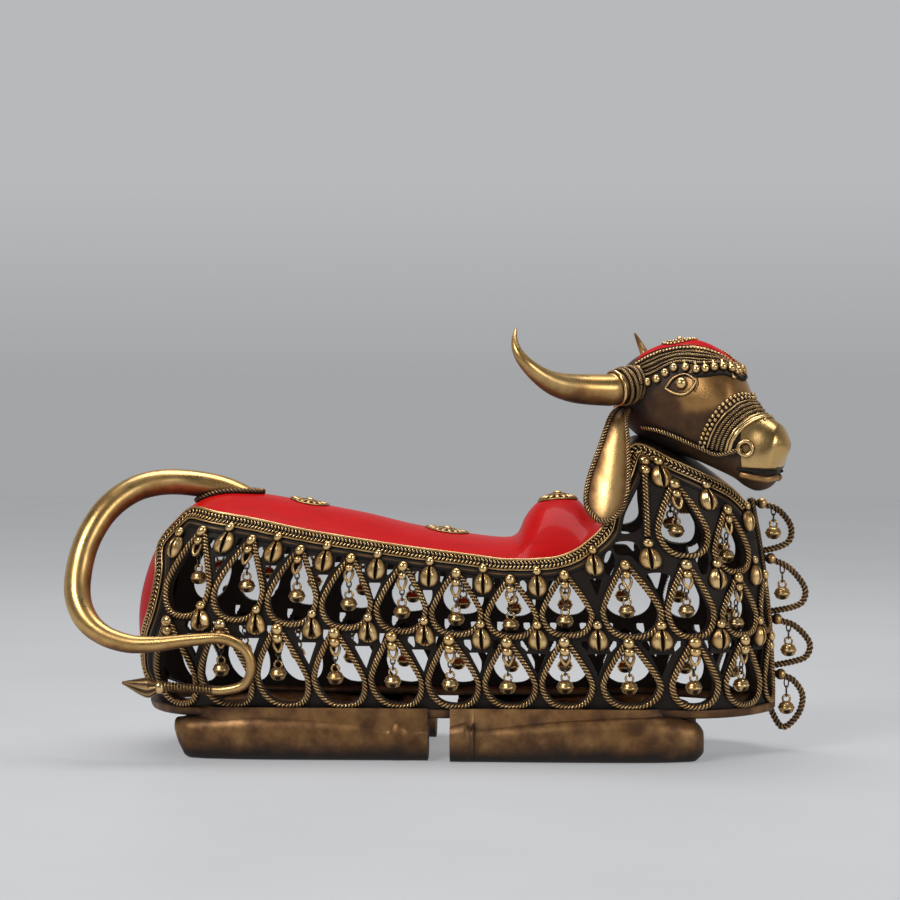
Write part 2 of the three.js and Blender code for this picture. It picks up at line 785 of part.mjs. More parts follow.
function casting() {
  const pieces = [backPlate(), chestStrip(), head(), capEdge(), tail()];
  pieces.push(...noseRing(), ...chestLoops.map(chestLoop));
  for (const side of [-1, 1]) {
    pieces.push(wall(side), rim(side), ...legs(side), horn(side), ear(side));
  }
  return union(pieces);
}

const nandi = new THREE.Group();

function addPiece(name, solid, material) {
  const mesh = new THREE.Mesh(toGeometry(solid), material);
  mesh.name = name;
  nandi.add(mesh);
}

addPiece("bull_casting", casting(), brass);
for (const [side, sideName] of [
  [-1, "right"],
  [1, "left"],
]) {
  for (const loop of loopsOfSide()) {
    if (loop.bell) addPiece(`bell_${sideName}_${loop.bell}`, wallBell(loop, side), bellBrass);
  }
}

chestLoops.forEach((place, k) => addPiece(`bell_chest_${k + 1}`, chestBell(place), bellBrass));

// The part's origin is under the middle of its box, on the surface it stands on
const box = new THREE.Box3().setFromObject(nandi);
nandi.position.set(-(box.min.x + box.max.x) / 2, -(box.min.y + box.max.y) / 2, -box.min.z);

export default nandi;
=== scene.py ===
"""Reclining nandi bull, cast in brass as openwork with small bells in its loops.

Shapes are worked out in millimetres in the modelling frame that the part's source uses: +Z up, head
towards +X, the bull's right side at -Y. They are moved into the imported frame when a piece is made.
"""

import math

import bpy
import numpy as np
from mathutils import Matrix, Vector
from mathutils.bvhtree import BVHTree
from mathutils.geometry import delaunay_2d_cdt


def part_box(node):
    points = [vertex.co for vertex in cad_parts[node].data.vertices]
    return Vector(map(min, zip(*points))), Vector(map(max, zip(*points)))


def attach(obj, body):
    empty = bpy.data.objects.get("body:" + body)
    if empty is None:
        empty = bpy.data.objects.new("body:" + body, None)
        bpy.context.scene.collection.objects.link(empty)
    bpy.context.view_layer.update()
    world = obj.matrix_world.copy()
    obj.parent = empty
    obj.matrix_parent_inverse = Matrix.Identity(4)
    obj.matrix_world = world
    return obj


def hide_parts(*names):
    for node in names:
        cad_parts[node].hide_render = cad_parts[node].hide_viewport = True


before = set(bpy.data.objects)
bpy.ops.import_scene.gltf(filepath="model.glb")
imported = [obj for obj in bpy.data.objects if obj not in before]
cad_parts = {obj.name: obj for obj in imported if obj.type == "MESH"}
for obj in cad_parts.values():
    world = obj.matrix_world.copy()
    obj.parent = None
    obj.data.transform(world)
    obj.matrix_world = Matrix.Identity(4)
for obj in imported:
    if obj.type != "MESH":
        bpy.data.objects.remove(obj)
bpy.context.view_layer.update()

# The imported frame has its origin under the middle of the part's box. The first chest bell tells how
# far that is from the modelling frame's origin.
chest_bell_x = 248
low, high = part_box("bell_chest_1")
shift = np.array([(low.x + high.x) / 2 * 1000 - chest_bell_x, (low.y + high.y) / 2 * 1000, 0.0])

# Body
body_width = 140
chest_x, chest_lean, chest_lean_height = 247, 18, 165
rump_x, rump_pull, rump_pull_height, rump_level = -247, 16, 75, 100
chest_round, rump_round = 100, 70
side_level, side_tuck, side_tuck_height = 95, 0.1, 75
wall_thickness = 5
rim_z, rim_height = 36, 7
front_arc, flank_arc, rear_arc = 135, 320, 110
total_arc = front_arc + flank_arc + rear_arc
both_sides = ((-1, "right"), (1, "left"))

# Two rows of loops from the chest to the rump, and two loops on the neck as [share of the front arc, top,
# bottom, bell]
columns, shoulder_pitch = 12, 48
chest_columns = [0.15, 0.45, 0.75]
lower_shoulder, upper_shoulder = 1.08, 1.055
lower_end, upper_end = 70, 83
lower_loop_width, upper_loop_width, neck_loop_width = 34, 33, 31
chest_loop_widths = [26, 31, 28, 37]
chest_loop_tops = [134, 134, 145, 145]
neck_loops = [(0.73, 205, 157, "neck_1"), (0.445, 185, 144, "neck_2")]
loop_gap, lower_loop_bottom, upper_loop_drop = 7, 43, 18
neck_end = front_arc + 40
row_z, row_rise, lowest_back, highest_back = 93, 0.42, 153, 186
loop_widest, loop_peak, loop_roundness = 0.62, 0.12, 2.3

# Ropes, beads, cowries and bells
rope_radius = 2.5
rope_pitch = 8.4
eye_drop, bell_drop = 8.2, 31
cowrie_width, cowrie_length, cowrie_height, cowrie_lift = 15, 17, 5, 1.7
cowrie_slit, cowrie_lip, cowrie_groove = 0.12, 1.3, 3.4
front_cowries = [(0.785, 213), (0.55, 195), (0.25, 178), (0.92, 152), (0.58, 136), (0.275, 137)]
rump_cowrie = (-211, 158)
cowrie_bead_radius, cowrie_bead_above = 3.5, 2.4
top_cowrie_drop, middle_cowrie_drop, first_top_cowrie, first_open_cowrie = 21, 2, 4, 7
bead_radius, bead_above, bead_below = 3.9, 3.4, 3.6
lower_row_size, bead_above_size, bead_below_size, neck_bead_size = 1.12, 1.03, 0.9, 0.95
rope_above, rope_below, rope_wider = 2.4, 2.2, 4.6
eye_half_width, eye_half_height, eye_middle_drop, eye_wire = 4.2, 4.6, 9.4, 1.2

# Head frame: its origin at the poll, +X towards the muzzle
poll = np.array([150.0, -10.0, 284.0])
head_turn = math.radians(-27)

# The picture: the pixel where x and z are 0, the millimetres of a pixel and the plane's y. Then the eye
# that sees it, what the eye looks at, and how far from it the head is.
picture_x, picture_y, picture_scale, picture_plane = 450, 764, 0.75, -70
eye_place = np.array([85.0, -1870.0, 288.0])
aim_place = np.array([0.0, -70.0, 235.0])
head_distance = 1810


def picture_place(pixel):
    """The x and z of a place in the picture, where its plane stands in the model."""
    return (pixel[0] - picture_x) * picture_scale, (picture_y - pixel[1]) * picture_scale


# Directions, lines and faces


def unit(vectors):
    return vectors / np.linalg.norm(vectors, axis=-1, keepdims=True)


def turns(count, closed=False):
    """Angles once round; closed repeats the first at the end."""
    return np.arange(count + closed) * 2 * math.pi / count


def run_along(line):
    """How far along a line each of its points lies."""
    return np.r_[0, np.cumsum(np.linalg.norm(np.diff(line, axis=0), axis=1))]


def even(line, step, dims=3):
    """The same line with its points evenly spaced, about a step apart."""
    run = run_along(line[:, :dims])
    at = np.linspace(0, run[-1], max(2, round(run[-1] / step) + 1))
    return np.column_stack([np.interp(at, run, column) for column in line.T])


def spline(points, step, closed=False, dims=3):
    """A smooth line through points; further columns, such as a radius, are carried along."""
    p = np.asarray(points, float)
    ends = [p[-1:], p, p[:2]] if closed else [2 * p[:1] - p[1:2], p, 2 * p[-1:] - p[-2:-1]]
    q = np.vstack(ends)
    t = np.linspace(0, 1, 17)[:-1, None]
    pieces = []
    for a, b, c, d in zip(q[:-3], q[1:-2], q[2:-1], q[3:]):
        cubic = 2 * b + (c - a) * t + (2 * a - 5 * b + 4 * c - d) * t**2 + (3 * b - a - 3 * c + d) * t**3
        pieces.append(cubic / 2)
    return even(np.vstack(pieces + [p[:1] if closed else p[-1:]]), step, dims)


def bow(start, middle, end, share):
    """A curve from a start to an end, drawn towards a middle."""
    return start * (1 - share) ** 2 + 2 * middle * share * (1 - share) + end * share**2


def beside(line):
    """Directions along a flat line and square to it."""
    along = unit(np.gradient(line, axis=0))
    return along, along[:, ::-1] * [-1, 1]


def lifted(line, out):
    """A flat line with its height as a further column."""
    return np.column_stack([line, np.full(len(line), out)])


def circle(radius, count, closed=False):
    turn = turns(count, closed)
    return np.column_stack([radius * np.cos(turn), radius * np.sin(turn)])


def frames(line):
    """Two directions across a line, turned as little as possible from point to point."""
    along = unit(np.gradient(line, axis=0))
    across = np.empty_like(along)
    way = np.eye(3)[np.argmin(abs(along[0]))]
    for i, ahead in enumerate(along):
        way = unit(way - ahead * (way @ ahead))
        across[i] = way
    return across, np.cross(along, across)


def grid(rows, cols, around=False):
    """Faces of a grid of points, row by row; around joins the last column to the first."""
    i, j = np.meshgrid(np.arange(rows - 1), np.arange(cols if around else cols - 1), indexing="ij")
    k = (j + 1) % cols
    return np.stack([i * cols + j, i * cols + k, (i + 1) * cols + k, (i + 1) * cols + j], -1).reshape(-1, 4)


def fan(first, count, tip, flip=False):
    """Triangles from a ring of points to a tip."""
    here = np.arange(count)
    after = (here + 1) % count
    a, b = (after, here) if flip else (here, after)
    return np.column_stack([first + a, first + b, np.full(count, tip)])


def tube(rings, around, flip=False):
    """Faces of a tube of rings, and one face at each end."""
    start, end = np.arange(around)[None, ::-1], ((rings - 1) * around + np.arange(around))[None]
    faces = [grid(rings, around, True), start, end]
    return [f[:, ::-1] for f in faces] if flip else faces


# Solids


class Form:
    """Gathers one piece's points and faces, with each point's relief: 0 in a groove, 1 on a ridge."""

    def __init__(self):
        self.points, self.faces, self.relief, self.count = [], [], [], 0

    def add(self, points, faces, relief=1.0):
        points = np.asarray(points, float).reshape(-1, 3)
        self.points.append(points)
        self.relief.append(np.broadcast_to(np.asarray(relief, float).ravel(), len(points)))
        self.faces += [np.asarray(f) + self.count for f in (faces if isinstance(faces, list) else [faces])]
        self.count += len(points)
        return self

    def extend(self, other, bend=lambda points: points, flip=False):
        """Takes in another form, its points moved by a function."""
        self.faces += [(f[:, ::-1] if flip else f) + self.count for f in other.faces]
        self.points.append(bend(np.vstack(other.points)))
        self.relief.append(np.concatenate(other.relief))
        self.count += other.count
        return self


def sweep(form, line, radius, sides, strands=0, pitch=rope_pitch, groove=0.34, relief=1.0):
    """A bar along a line, or a rope of twisted strands whose grooves are dark."""
    line = np.asarray(line, float)
    across, up = frames(line)
    turn = turns(sides)
    high = 0.5 + 0.5 * np.cos(strands * turn)
    radius = np.broadcast_to(radius, len(line))[:, None] * (1 - groove * (1 - high))
    angle = turn + (2 * math.pi * run_along(line) / pitch)[:, None] * (strands > 0)
    around = across[:, None] * (radius * np.cos(angle))[..., None]
    around += up[:, None] * (radius * np.sin(angle))[..., None]
    n = len(line)
    points = np.vstack([(line[:, None] + around).reshape(-1, 3), line[:1], line[-1:]])
    ends = np.vstack([fan(0, sides, n * sides, True), fan((n - 1) * sides, sides, n * sides + 1)])
    return form.add(points, [grid(n, sides, True), ends], np.r_[np.tile(high, n) * relief, relief, relief])


def painted_light_bar(form, line, radius, sides=24, low=0.12, high=0.93):
    """A bar with painted light: a painted highlight on the side facing up towards the key light, and painted
    shade in brown on the side away from it.
    """
    # Where the painted light comes from: up and towards -y, the key light's side, the same for every bar
    painted_light_way = np.array([-0.3, -0.6, 0.74])
    sweep(form, line, radius, sides)
    around = unit(form.points[-1][:-2].reshape(len(line), sides, 3) - line[:, None])
    shade = low + (high - low) * np.clip(0.5 + 0.75 * (around @ painted_light_way), 0, 1)
    form.relief[-1] = np.r_[shade.ravel(), high, high]


def rope(form, line, radius=rope_radius, step=0.95):
    pitch = radius * rope_pitch / rope_radius
    return sweep(form, even(np.asarray(line, float), step), radius, 12, 3, pitch)


def ball_template(across, down):
    """Points and faces of a ball with a radius of 1 and its poles along z."""
    low, turn = np.linspace(0, math.pi, down + 1)[1:-1, None], turns(across)
    x, y, z = np.broadcast_arrays(np.sin(low) * np.cos(turn), np.sin(low) * np.sin(turn), np.cos(low))
    points = np.vstack([np.stack([x, y, z], -1).reshape(-1, 3), [[0, 0, 1], [0, 0, -1]]])
    n = len(points)
    tips = np.vstack([fan(0, across, n - 2), fan((down - 2) * across, across, n - 1, True)])
    return points, [grid(down - 1, across, True)[:, ::-1], tips]


def lit(ball, root=0.3, rise=0.8):
    """Relief of a grain laid flat: dark at its root, bright on top."""
    return np.clip(root + rise * ball[:, 2], 0, 1)


def balls(form, centres, radii, out=None, across=12, down=7, stretch=(1, 1, 1)):
    """Beads. Where out is given, a bead is bright on its outer side and dark where it is rooted."""
    ball, faces = ball_template(across, down)
    centres = np.atleast_2d(np.asarray(centres, float))
    shades = [1.0] * len(centres)
    if out is not None:
        ways = unit(np.broadcast_to(np.asarray(out, float), centres.shape))
        shades = [np.clip(0.62 + 0.55 * (ball @ way), 0, 1) for way in ways]
    for centre, radius, shade in zip(centres, np.broadcast_to(radii, len(centres)), shades):
        form.add(centre + ball * radius * np.asarray(stretch), faces, shade)
    return form


def ring(form, centre, radius, wire, normal, sides, steps, stretch=1.0, **more):
    """A round or oval ring of wire; normal is square to it and stretch lengthens it upwards."""
    normal = unit(np.asarray(normal, float))
    up = unit(np.array([0, 0, 1]) - normal * normal[2])
    turn = turns(steps, True)[:, None]
    line = centre + radius * (np.cos(turn) * np.cross(up, normal) + stretch * np.sin(turn) * up)
    return sweep(form, line, wire, sides, **more)


# Materials


def node(tree, kind, inputs=None, **settings):
    """A shader node; its inputs are values or the outputs of other nodes."""
    made = tree.nodes.new(kind)
    for name, value in settings.items():
        setattr(made, name, value)
    for name, value in (inputs or {}).items():
        if isinstance(value, bpy.types.NodeSocket):
            tree.links.new(value, made.inputs[name])
        else:
            made.inputs[name].default_value = value
    return made


def ramp(tree, fac, stops):
    made = node(tree, "ShaderNodeValToRGB", {"Fac": fac})
    elements = made.color_ramp.elements
    while len(elements) < len(stops):
        elements.new(0.5)
    for element, (place, colour) in zip(elements, stops):
        element.position = place
        element.color = (*colour, 1)
    return made.outputs["Color"]


def multiplied(tree, share, colour, tint):
    inputs = {0: share, 6: colour, 7: tint}
    return node(tree, "ShaderNodeMix", inputs, data_type="RGBA", blend_type="MULTIPLY").outputs[2]


def maths(tree, operation, a, b):
    return node(tree, "ShaderNodeMath", {0: a, 1: b}, operation=operation).outputs[0]


def centred(tree, value, middle, strength):
    return maths(tree, "MULTIPLY", maths(tree, "SUBTRACT", value, middle), strength)


def mapped(tree, value, low, high):
    return node(tree, "ShaderNodeMapRange", {"Value": value, "To Min": low, "To Max": high}).outputs[0]


def noise(tree, place, scale, detail, rough=0.55, stretch=None):
    if stretch:
        place = node(tree, "ShaderNodeMapping", {"Vector": place, "Scale": stretch}).outputs[0]
    inputs = {"Vector": place, "Scale": scale, "Detail": detail, "Roughness": rough}
    return node(tree, "ShaderNodeTexNoise", inputs).outputs["Fac"]


def new_material(name):
    """A material, its empty tree and the place on the object."""
    material = bpy.data.materials.new(name)
    material.use_nodes = True
    tree = material.node_tree
    tree.nodes.clear()
    return material, tree, node(tree, "ShaderNodeTexCoord").outputs["Object"]


def set_surface(tree, inputs):
    surface = node(tree, "ShaderNodeBsdfPrincipled", inputs)
    node(tree, "ShaderNodeOutputMaterial", {"Surface": surface.outputs[0]})


def bumpy(tree, strength, depth, height):
    inputs = {"Strength": strength, "Distance": depth, "Height": height}
    return node(tree, "ShaderNodeBump", inputs).outputs[0]


def metal(name, colours, polish, recess=0.005, tarnish=0.5, bump=0.25, stops=(0.12, 0.45, 0.82)):
    """Cast metal, polished where it stands out, with patina in its grooves; colours go dark to bright."""
    material, tree, place = new_material(name)
    relief = node(tree, "ShaderNodeAttribute", attribute_name="relief").outputs["Fac"]
    hollow = node(tree, "ShaderNodeAmbientOcclusion", {"Distance": recess}, samples=6).outputs["AO"]
    cloud, fine = noise(tree, place, 55.0, 5.0), noise(tree, place, 900.0, 3.0, 0.6)
    worn = maths(tree, "MULTIPLY", relief, maths(tree, "POWER", hollow, 1.6))
    worn = maths(tree, "ADD", worn, centred(tree, cloud, 0.52, tarnish))
    tint = ramp(tree, noise(tree, place, 28.0, 2.0), [(0.35, (1.0, 0.86, 0.66)), (0.62, (1.0, 1.0, 1.0))])
    colour = multiplied(tree, 0.6, ramp(tree, worn, list(zip(stops, colours))), tint)
    rough = maths(tree, "ADD", mapped(tree, worn, 0.62, polish), centred(tree, fine, 0.5, 0.12))
    pits = maths(tree, "ADD", fine, noise(tree, place, 260.0, 4.0))
    looks = {"Base Color": colour, "Metallic": mapped(tree, worn, 0.25, 1.0), "Roughness": rough}
    set_surface(tree, {**looks, "Normal": bumpy(tree, bump, 0.0003, pits)})
    return material


def lacquer():
    """Glossy red lacquer, a little uneven, with the brush's drag and fine dust in it."""
    material, tree, place = new_material("red_lacquer")
    drag = noise(tree, place, 30.0, 5.0, 0.6, (1, 6, 6))
    colour = ramp(tree, drag, [(0.25, (0.47, 0.002, 0.003)), (0.75, (0.62, 0.003, 0.004))])
    waves = maths(tree, "ADD", noise(tree, place, 70.0, 2.0), noise(tree, place, 700.0, 2.0))
    gloss = {"Roughness": 0.45, "IOR": 1.16, "Coat Weight": 0.1, "Coat Roughness": 0.1}
    set_surface(tree, {"Base Color": colour, "Normal": bumpy(tree, 0.1, 0.0004, waves), **gloss})
    return material


brass_colours = [(0.009, 0.006, 0.004), (0.32, 0.165, 0.055), (0.9, 0.64, 0.3)]
polished_colours = [(0.03, 0.015, 0.007), (0.22, 0.1, 0.03), (0.64, 0.42, 0.17)]
bronze_colours = [(0.014, 0.008, 0.005), (0.12, 0.056, 0.022), (0.48, 0.265, 0.1)]
web_colours = [(0.005, 0.004, 0.003), (0.018, 0.012, 0.009), (0.05, 0.035, 0.022)]
iron_colours = [(0.01, 0.01, 0.01), (0.06, 0.05, 0.04), (0.16, 0.13, 0.1)]
antique_brass = metal("antique_brass", brass_colours, 0.22, stops=(0.2, 0.56, 0.95))
polished_brass = metal("polished_brass", polished_colours, 0.26, 0.012, 0.8, 0.14)
bronze_brown = metal("bronze_brown", bronze_colours, 0.3, 0.02, 0.9, 0.2)
dark_web = metal("dark_web", web_colours, 0.42, 0.01, 0.3, 0.3)
dark_iron = metal("dark_iron", iron_colours, 0.35)
red_lacquer = lacquer()


# Pieces


def new_object(name, data):
    made = bpy.data.objects.new(name, data)
    bpy.context.scene.collection.objects.link(made)
    return made


def piece(name, form, material=antique_brass, replaced="bull_casting", sharp=None):
    """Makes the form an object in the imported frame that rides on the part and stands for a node."""
    points = (np.vstack(form.points) + shift) / 1000
    mesh = bpy.data.meshes.new(name)
    mesh.from_pydata(points.tolist(), [], [corners for group in form.faces for corners in group.tolist()])
    mesh.validate()
    relief = mesh.attributes.new("relief", "FLOAT", "POINT")
    relief.data.foreach_set("value", np.concatenate(form.relief).astype(np.float32))
    mesh.polygons.foreach_set("use_smooth", np.ones(len(mesh.polygons), bool))
    if sharp:
        mesh.set_sharp_from_angle(angle=math.radians(sharp))
    mesh.materials.append(material)
    made = new_object(name, mesh)
    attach(made, "root")
    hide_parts(replaced)
    return made


# The wall of the body, with places on it as [u along it from the chest's centre line, z]


def chest_at(z):
    return chest_x - chest_lean * ((z - rim_z) / chest_lean_height) ** 2


def rump_at(z):
    return rump_x + rump_pull * ((z - rump_level) / rump_pull_height) ** 2


def half_width_at(z):
    return body_width / 2 * (1 - side_tuck * ((z - side_level) / side_tuck_height) ** 2)


def wall_point(u, z):
    """The wall's surface on the bull's left."""
    front, rear, half = chest_at(z) - chest_round, rump_at(z) + rump_round, half_width_at(z)
    turn = u / front_arc * math.pi / 2
    back_turn = (total_arc - u) / rear_arc * math.pi / 2
    share = (u - front_arc) / flank_arc
    in_front, behind = u < front_arc, u > front_arc + flank_arc
    x = np.where(in_front, front + chest_round * np.cos(turn), front + (rear - front) * share)
    x = np.where(behind, rear - rump_round * np.cos(back_turn), x)
    y = np.where(in_front, half * np.sin(turn), np.where(behind, half * np.sin(back_turn), half))
    return np.stack([x, y, z + 0 * x], -1)


def on_wall(flat, side=1):
    """Points given as [u, z, out from the wall] on the body's surface."""
    u, z, out = np.asarray(flat, float).T
    along = wall_point(u + 0.5, z) - wall_point(u - 0.5, z)
    up = wall_point(u, z + 0.5) - wall_point(u, z - 0.5)
    return (wall_point(u, z) + unit(np.cross(along, up)) * out[:, None]) * [1, side, 1]


def wall_u(x, z):
    """How far along the wall the place at x and z lies."""
    front, rear = chest_at(z) - chest_round, rump_at(z) + rump_round
    if x > front:
        return math.acos(min(1, (x - front) / chest_round)) / (math.pi / 2) * front_arc
    if x > rear:
        return front_arc + (x - front) / (rear - front) * flank_arc
    return total_arc - math.acos(min(1, (rear - x) / rump_round)) / (math.pi / 2) * rear_arc


# Stations along the middle of the back: [x, z on the centre line, x, z of the wall's top edge]
back_stations = np.array([
    [-234, 48, -231, 48], [-243, 66, -239, 66], [-247, 92, -238, 92], [-246, 116, -231, 113],
    [-240, 140, -226, 137], [-232, 158, -225, 160], [-219, 177, -211, 178], [-201, 192, -197, 189],
    [-178, 200, -176, 186], [-146, 198, -146, 181], [-110, 191.5, -110, 173.5], [-70, 184, -70, 167],
    [-30, 174.5, -30, 161], [10, 168, 10, 156], [38, 165, 36, 152.5], [49, 168, 48, 152],
    [56, 182, 58, 152], [66, 193, 68, 152.5], [80, 198, 81, 154], [95, 195, 94, 159],
    [104, 186, 105, 167], [112, 178, 115, 177], [117, 190, 119, 192], [125, 218, 127, 216],
    [138, 244, 139, 238], [168, 237, 168, 226], [190, 224, 190, 216], [212, 208, 211, 205],
    [226, 194, 222, 194],
])
top_edge = np.array([[wall_u(x, z), z] for x, z in back_stations[:, 2:]])
top_by_u = top_edge[np.argsort(top_edge[:, 0])]


# The openwork's layout


def top_z(u):
    return np.interp(u, *top_by_u.T)


def columns_of_row(shoulder, end):
    places = [front_arc * share for share in [*chest_columns, shoulder]]
    places.append(places[-1] + shoulder_pitch)
    left = columns - len(places)
    pitch = (total_arc - end - places[-1]) / left
    return places + [places[-1] + pitch * (k + 1) for k in range(left)]


lower_columns = columns_of_row(lower_shoulder, lower_end)
upper_columns = columns_of_row(upper_shoulder, upper_end)


def middle_z(u):
    """The height of the line between the two rows, which follows the back."""
    rise = 0 if u < neck_end else max(0, min(top_z(u), highest_back) - lowest_back)
    return row_z + row_rise * rise


def loops_of_side():
    """Every loop as (u, top, bottom, width, the name of its bell)."""
    on_chest = len(chest_loop_widths)
    found = []
    for k, u in enumerate(lower_columns):
        bell = f"lower_{columns - 1 - k}" if 0 < k < columns - 1 else None
        width = chest_loop_widths[k] if k < on_chest else lower_loop_width
        found.append((u, middle_z(u) - loop_gap + 1, lower_loop_bottom, width, bell))
    for k, u in enumerate(upper_columns):
        top = chest_loop_tops[k] if k < on_chest else top_z(u) - upper_loop_drop
        width = chest_loop_widths[k] if k < on_chest else upper_loop_width
        found.append((u, top, middle_z(u) + loop_gap / 2, width, f"upper_{columns - k}" if k else None))
    for share, top, bottom, bell in neck_loops:
        found.append((front_arc * share, top, bottom, neck_loop_width, bell))
    return found


def places_between_loops():
    """Halfway between neighbouring loops: (k, u in the lower row, between the rows, in the upper row)."""
    for k in range(1, columns):
        lower, upper = ((row[k - 1] + row[k]) / 2 for row in (lower_columns, upper_columns))
        yield k, lower, (lower + upper) / 2, upper


def cowrie_places():
    """Cowries as (u, z, open below): under the top band, between the rows and in the neck."""
    places = [(front_arc * share, z, False) for share, z in front_cowries]
    places.append((wall_u(*rump_cowrie), rump_cowrie[1], False))
    for k, _, middle, upper in places_between_loops():
        places.append((middle, middle_z(middle) - middle_cowrie_drop, k >= first_open_cowrie))
        if k >= first_top_cowrie:
            places.append((upper, top_z(upper) - top_cowrie_drop, False))
    return places


# Gaps under and beside the cowries of the flank: corners as [from the cowrie, down]
gap_under_middle = [[-7.5, 9.5], [7.5, 9.5], [0, 27]]
gap_beside_middle = [[8.3, -0.5], [13.4, -0.5], [13.0, 4], [11, 6], [8.6, 8.5], [7.7, 5]]
gap_under_top = [[-5, 8.8], [5, 8.8], [0, 22]]
gap_beside_top = [[8.4, -5.5], [13.3, -5.5], [13.6, -1.5], [10.0, 3], [8.5, 3]]

# Gaps in the wall at the foot of the neck and the strand behind the ear, by their places in the picture
neck_gaps = [
    [(622, 506), (625, 493), (633, 485), (641, 485), (642.5, 505), (643.5, 524), (634, 533), (620, 532)],
    [(614, 544), (632, 542), (641, 551), (639, 564), (631, 557), (617, 555)],
    [(605.5, 556), (611, 551), (615, 559), (614.5, 567), (609.5, 577), (604.7, 570)],
    [
        (646.5, 575.6), (659.7, 573.2), (671.5, 576.4), (669.5, 585.2),
        (666.3, 600), (663.7, 605), (658, 594.5), (652, 585),
    ],
    [(697, 557), (706, 551.5), (710, 558.3), (708.5, 574), (703, 576), (698.7, 566.3)],
]
neck_strand = [(644.5, 461), (645, 478), (646, 500), (647, 522), (647.5, 538)]
neck_beads = [(644.5, 463), (645, 472)]
gap_step = 1.9


def gaps_by_cowries():
    found = []
    for k, lower, middle, upper in places_between_loops():
        gaps = [(lower, middle_z(lower) - middle_cowrie_drop, gap_under_middle, 1)]
        gaps += [(middle, middle_z(middle) - middle_cowrie_drop, gap_beside_middle, way) for way in (-1, 1)]
        if k >= first_top_cowrie:
            z = top_z(upper) - top_cowrie_drop
            gaps.append((upper, z, gap_under_top, 1))
            gaps += [(upper, z, gap_beside_top, way) for way in (-1, 1)]
        for u, z, corners, way in gaps:
            line = np.array([[u + way * across, z - down] for across, down in corners + corners[:1]])
            found.append(even(line, gap_step, 2)[:-1])
    return found


def on_flat(pixels):
    """The wall's flat places of places in the picture."""
    return np.array([[wall_u(x, z), z] for x, z in map(picture_place, pixels)])


def drop_half(share):
    """Half width of a drop, pointed above and round below, as a share of its width."""
    at = np.clip(share / loop_widest, 0, 1)
    above = 0.5 * (loop_peak + (1 - loop_peak) * (0.62 * at + 0.38 * np.sin(math.pi / 2 * at)))
    above = np.minimum(above, 3.2 * share)
    past = np.clip((share - loop_widest) / (1 - loop_widest), 0, 1)
    return np.where(share < loop_widest, above, 0.5 * (1 - past**loop_roundness) ** (1 / loop_roundness))


def drop_outline(u, top, bottom, width, step):
    """A closed outline of that drop, from its peak down one side and up the other."""
    share = np.r_[np.linspace(0, 0.9, 40), 1 - 0.1 * np.cos(np.linspace(0, math.pi / 2, 12))[1:]]
    half, z = drop_half(share) * width, top - share * (top - bottom)
    left = np.column_stack([u - half, z])[::-1]
    return even(np.vstack([np.column_stack([u + half, z]), left[1:]]), step, 2)


# The wall behind the ropes


def inside(points, polygon):
    x, y = points[:, :1], points[:, 1:]
    a, b = polygon[None], np.roll(polygon, -1, axis=0)[None]
    with np.errstate(divide="ignore", invalid="ignore"):
        cross = a[..., 0] + (y - a[..., 1]) / (b[..., 1] - a[..., 1]) * (b - a)[..., 0]
    hit = ((a[..., 1] > y) != (b[..., 1] > y)) & (x < cross)
    return hit.sum(1) % 2 == 1


def wall_outline(foot_step=5.0, edge_step=4.0, rump_inset=30):
    """The wall's flat outline: along its foot, then along the back and down the chest."""
    edge = spline(top_edge, edge_step, dims=2)
    foot_u = np.arange(0, min(edge[0, 0], total_arc) - rump_inset, foot_step)
    chest_z = np.linspace(edge[-1, 1], rim_z, 32)[1:-1]
    foot, chest = (foot_u, np.full(len(foot_u), rim_z)), (np.zeros(len(chest_z)), chest_z)
    return np.vstack([np.column_stack(foot), edge, np.column_stack(chest)])


def web(openings, cell=6.0, highest=236, clearance=2.0, sunk=0.6):
    """A plate with its openings, in the wall's flat frame."""
    outline = wall_outline()
    rings = [outline] + openings

    def solid(places):
        return inside(places, outline) & ~np.any([inside(places, hole) for hole in openings], axis=0)

    inner = np.meshgrid(np.arange(cell, total_arc, cell), np.arange(rim_z + 4, highest, cell))
    inner = np.stack(inner, -1).reshape(-1, 2)
    keep = solid(inner)
    for hole in openings:
        keep &= np.linalg.norm(inner[:, None] - hole[None], axis=2).min(1) > clearance
    points = np.vstack(rings + [inner[keep]])
    edges, start = [], 0
    for r in rings:
        edges += [(start + i, start + (i + 1) % len(r)) for i in range(len(r))]
        start += len(r)
    found, _, faces, *_ = delaunay_2d_cdt([Vector(p) for p in points], edges, [], 0, 1e-5)
    flat = np.array([tuple(p) for p in found])
    tris = np.array([f for f in faces if len(f) == 3])
    tris = tris[solid(flat[tris].mean(1))]
    a, b, c = (flat[tris[:, k]] for k in range(3))
    turned = (b[:, 0] - a[:, 0]) * (c[:, 1] - a[:, 1]) - (b[:, 1] - a[:, 1]) * (c[:, 0] - a[:, 0]) < 0
    tris[turned] = tris[turned][:, ::-1]
    n = len(flat)
    ways = {tuple(e) for e in np.vstack([tris[:, [0, 1]], tris[:, [1, 2]], tris[:, [2, 0]]])}
    rim = np.array([e for e in ways if (e[1], e[0]) not in ways])
    skirt = np.column_stack([rim[:, 0], rim[:, 0] + n, rim[:, 1] + n, rim[:, 1]])
    levels = [lifted(flat, out) for out in (-sunk, -wall_thickness)]
    return Form().add(np.vstack(levels), [tris, tris[:, ::-1] + n, skirt[:, ::-1]], 0.5)


# Ropes, beads and cowries


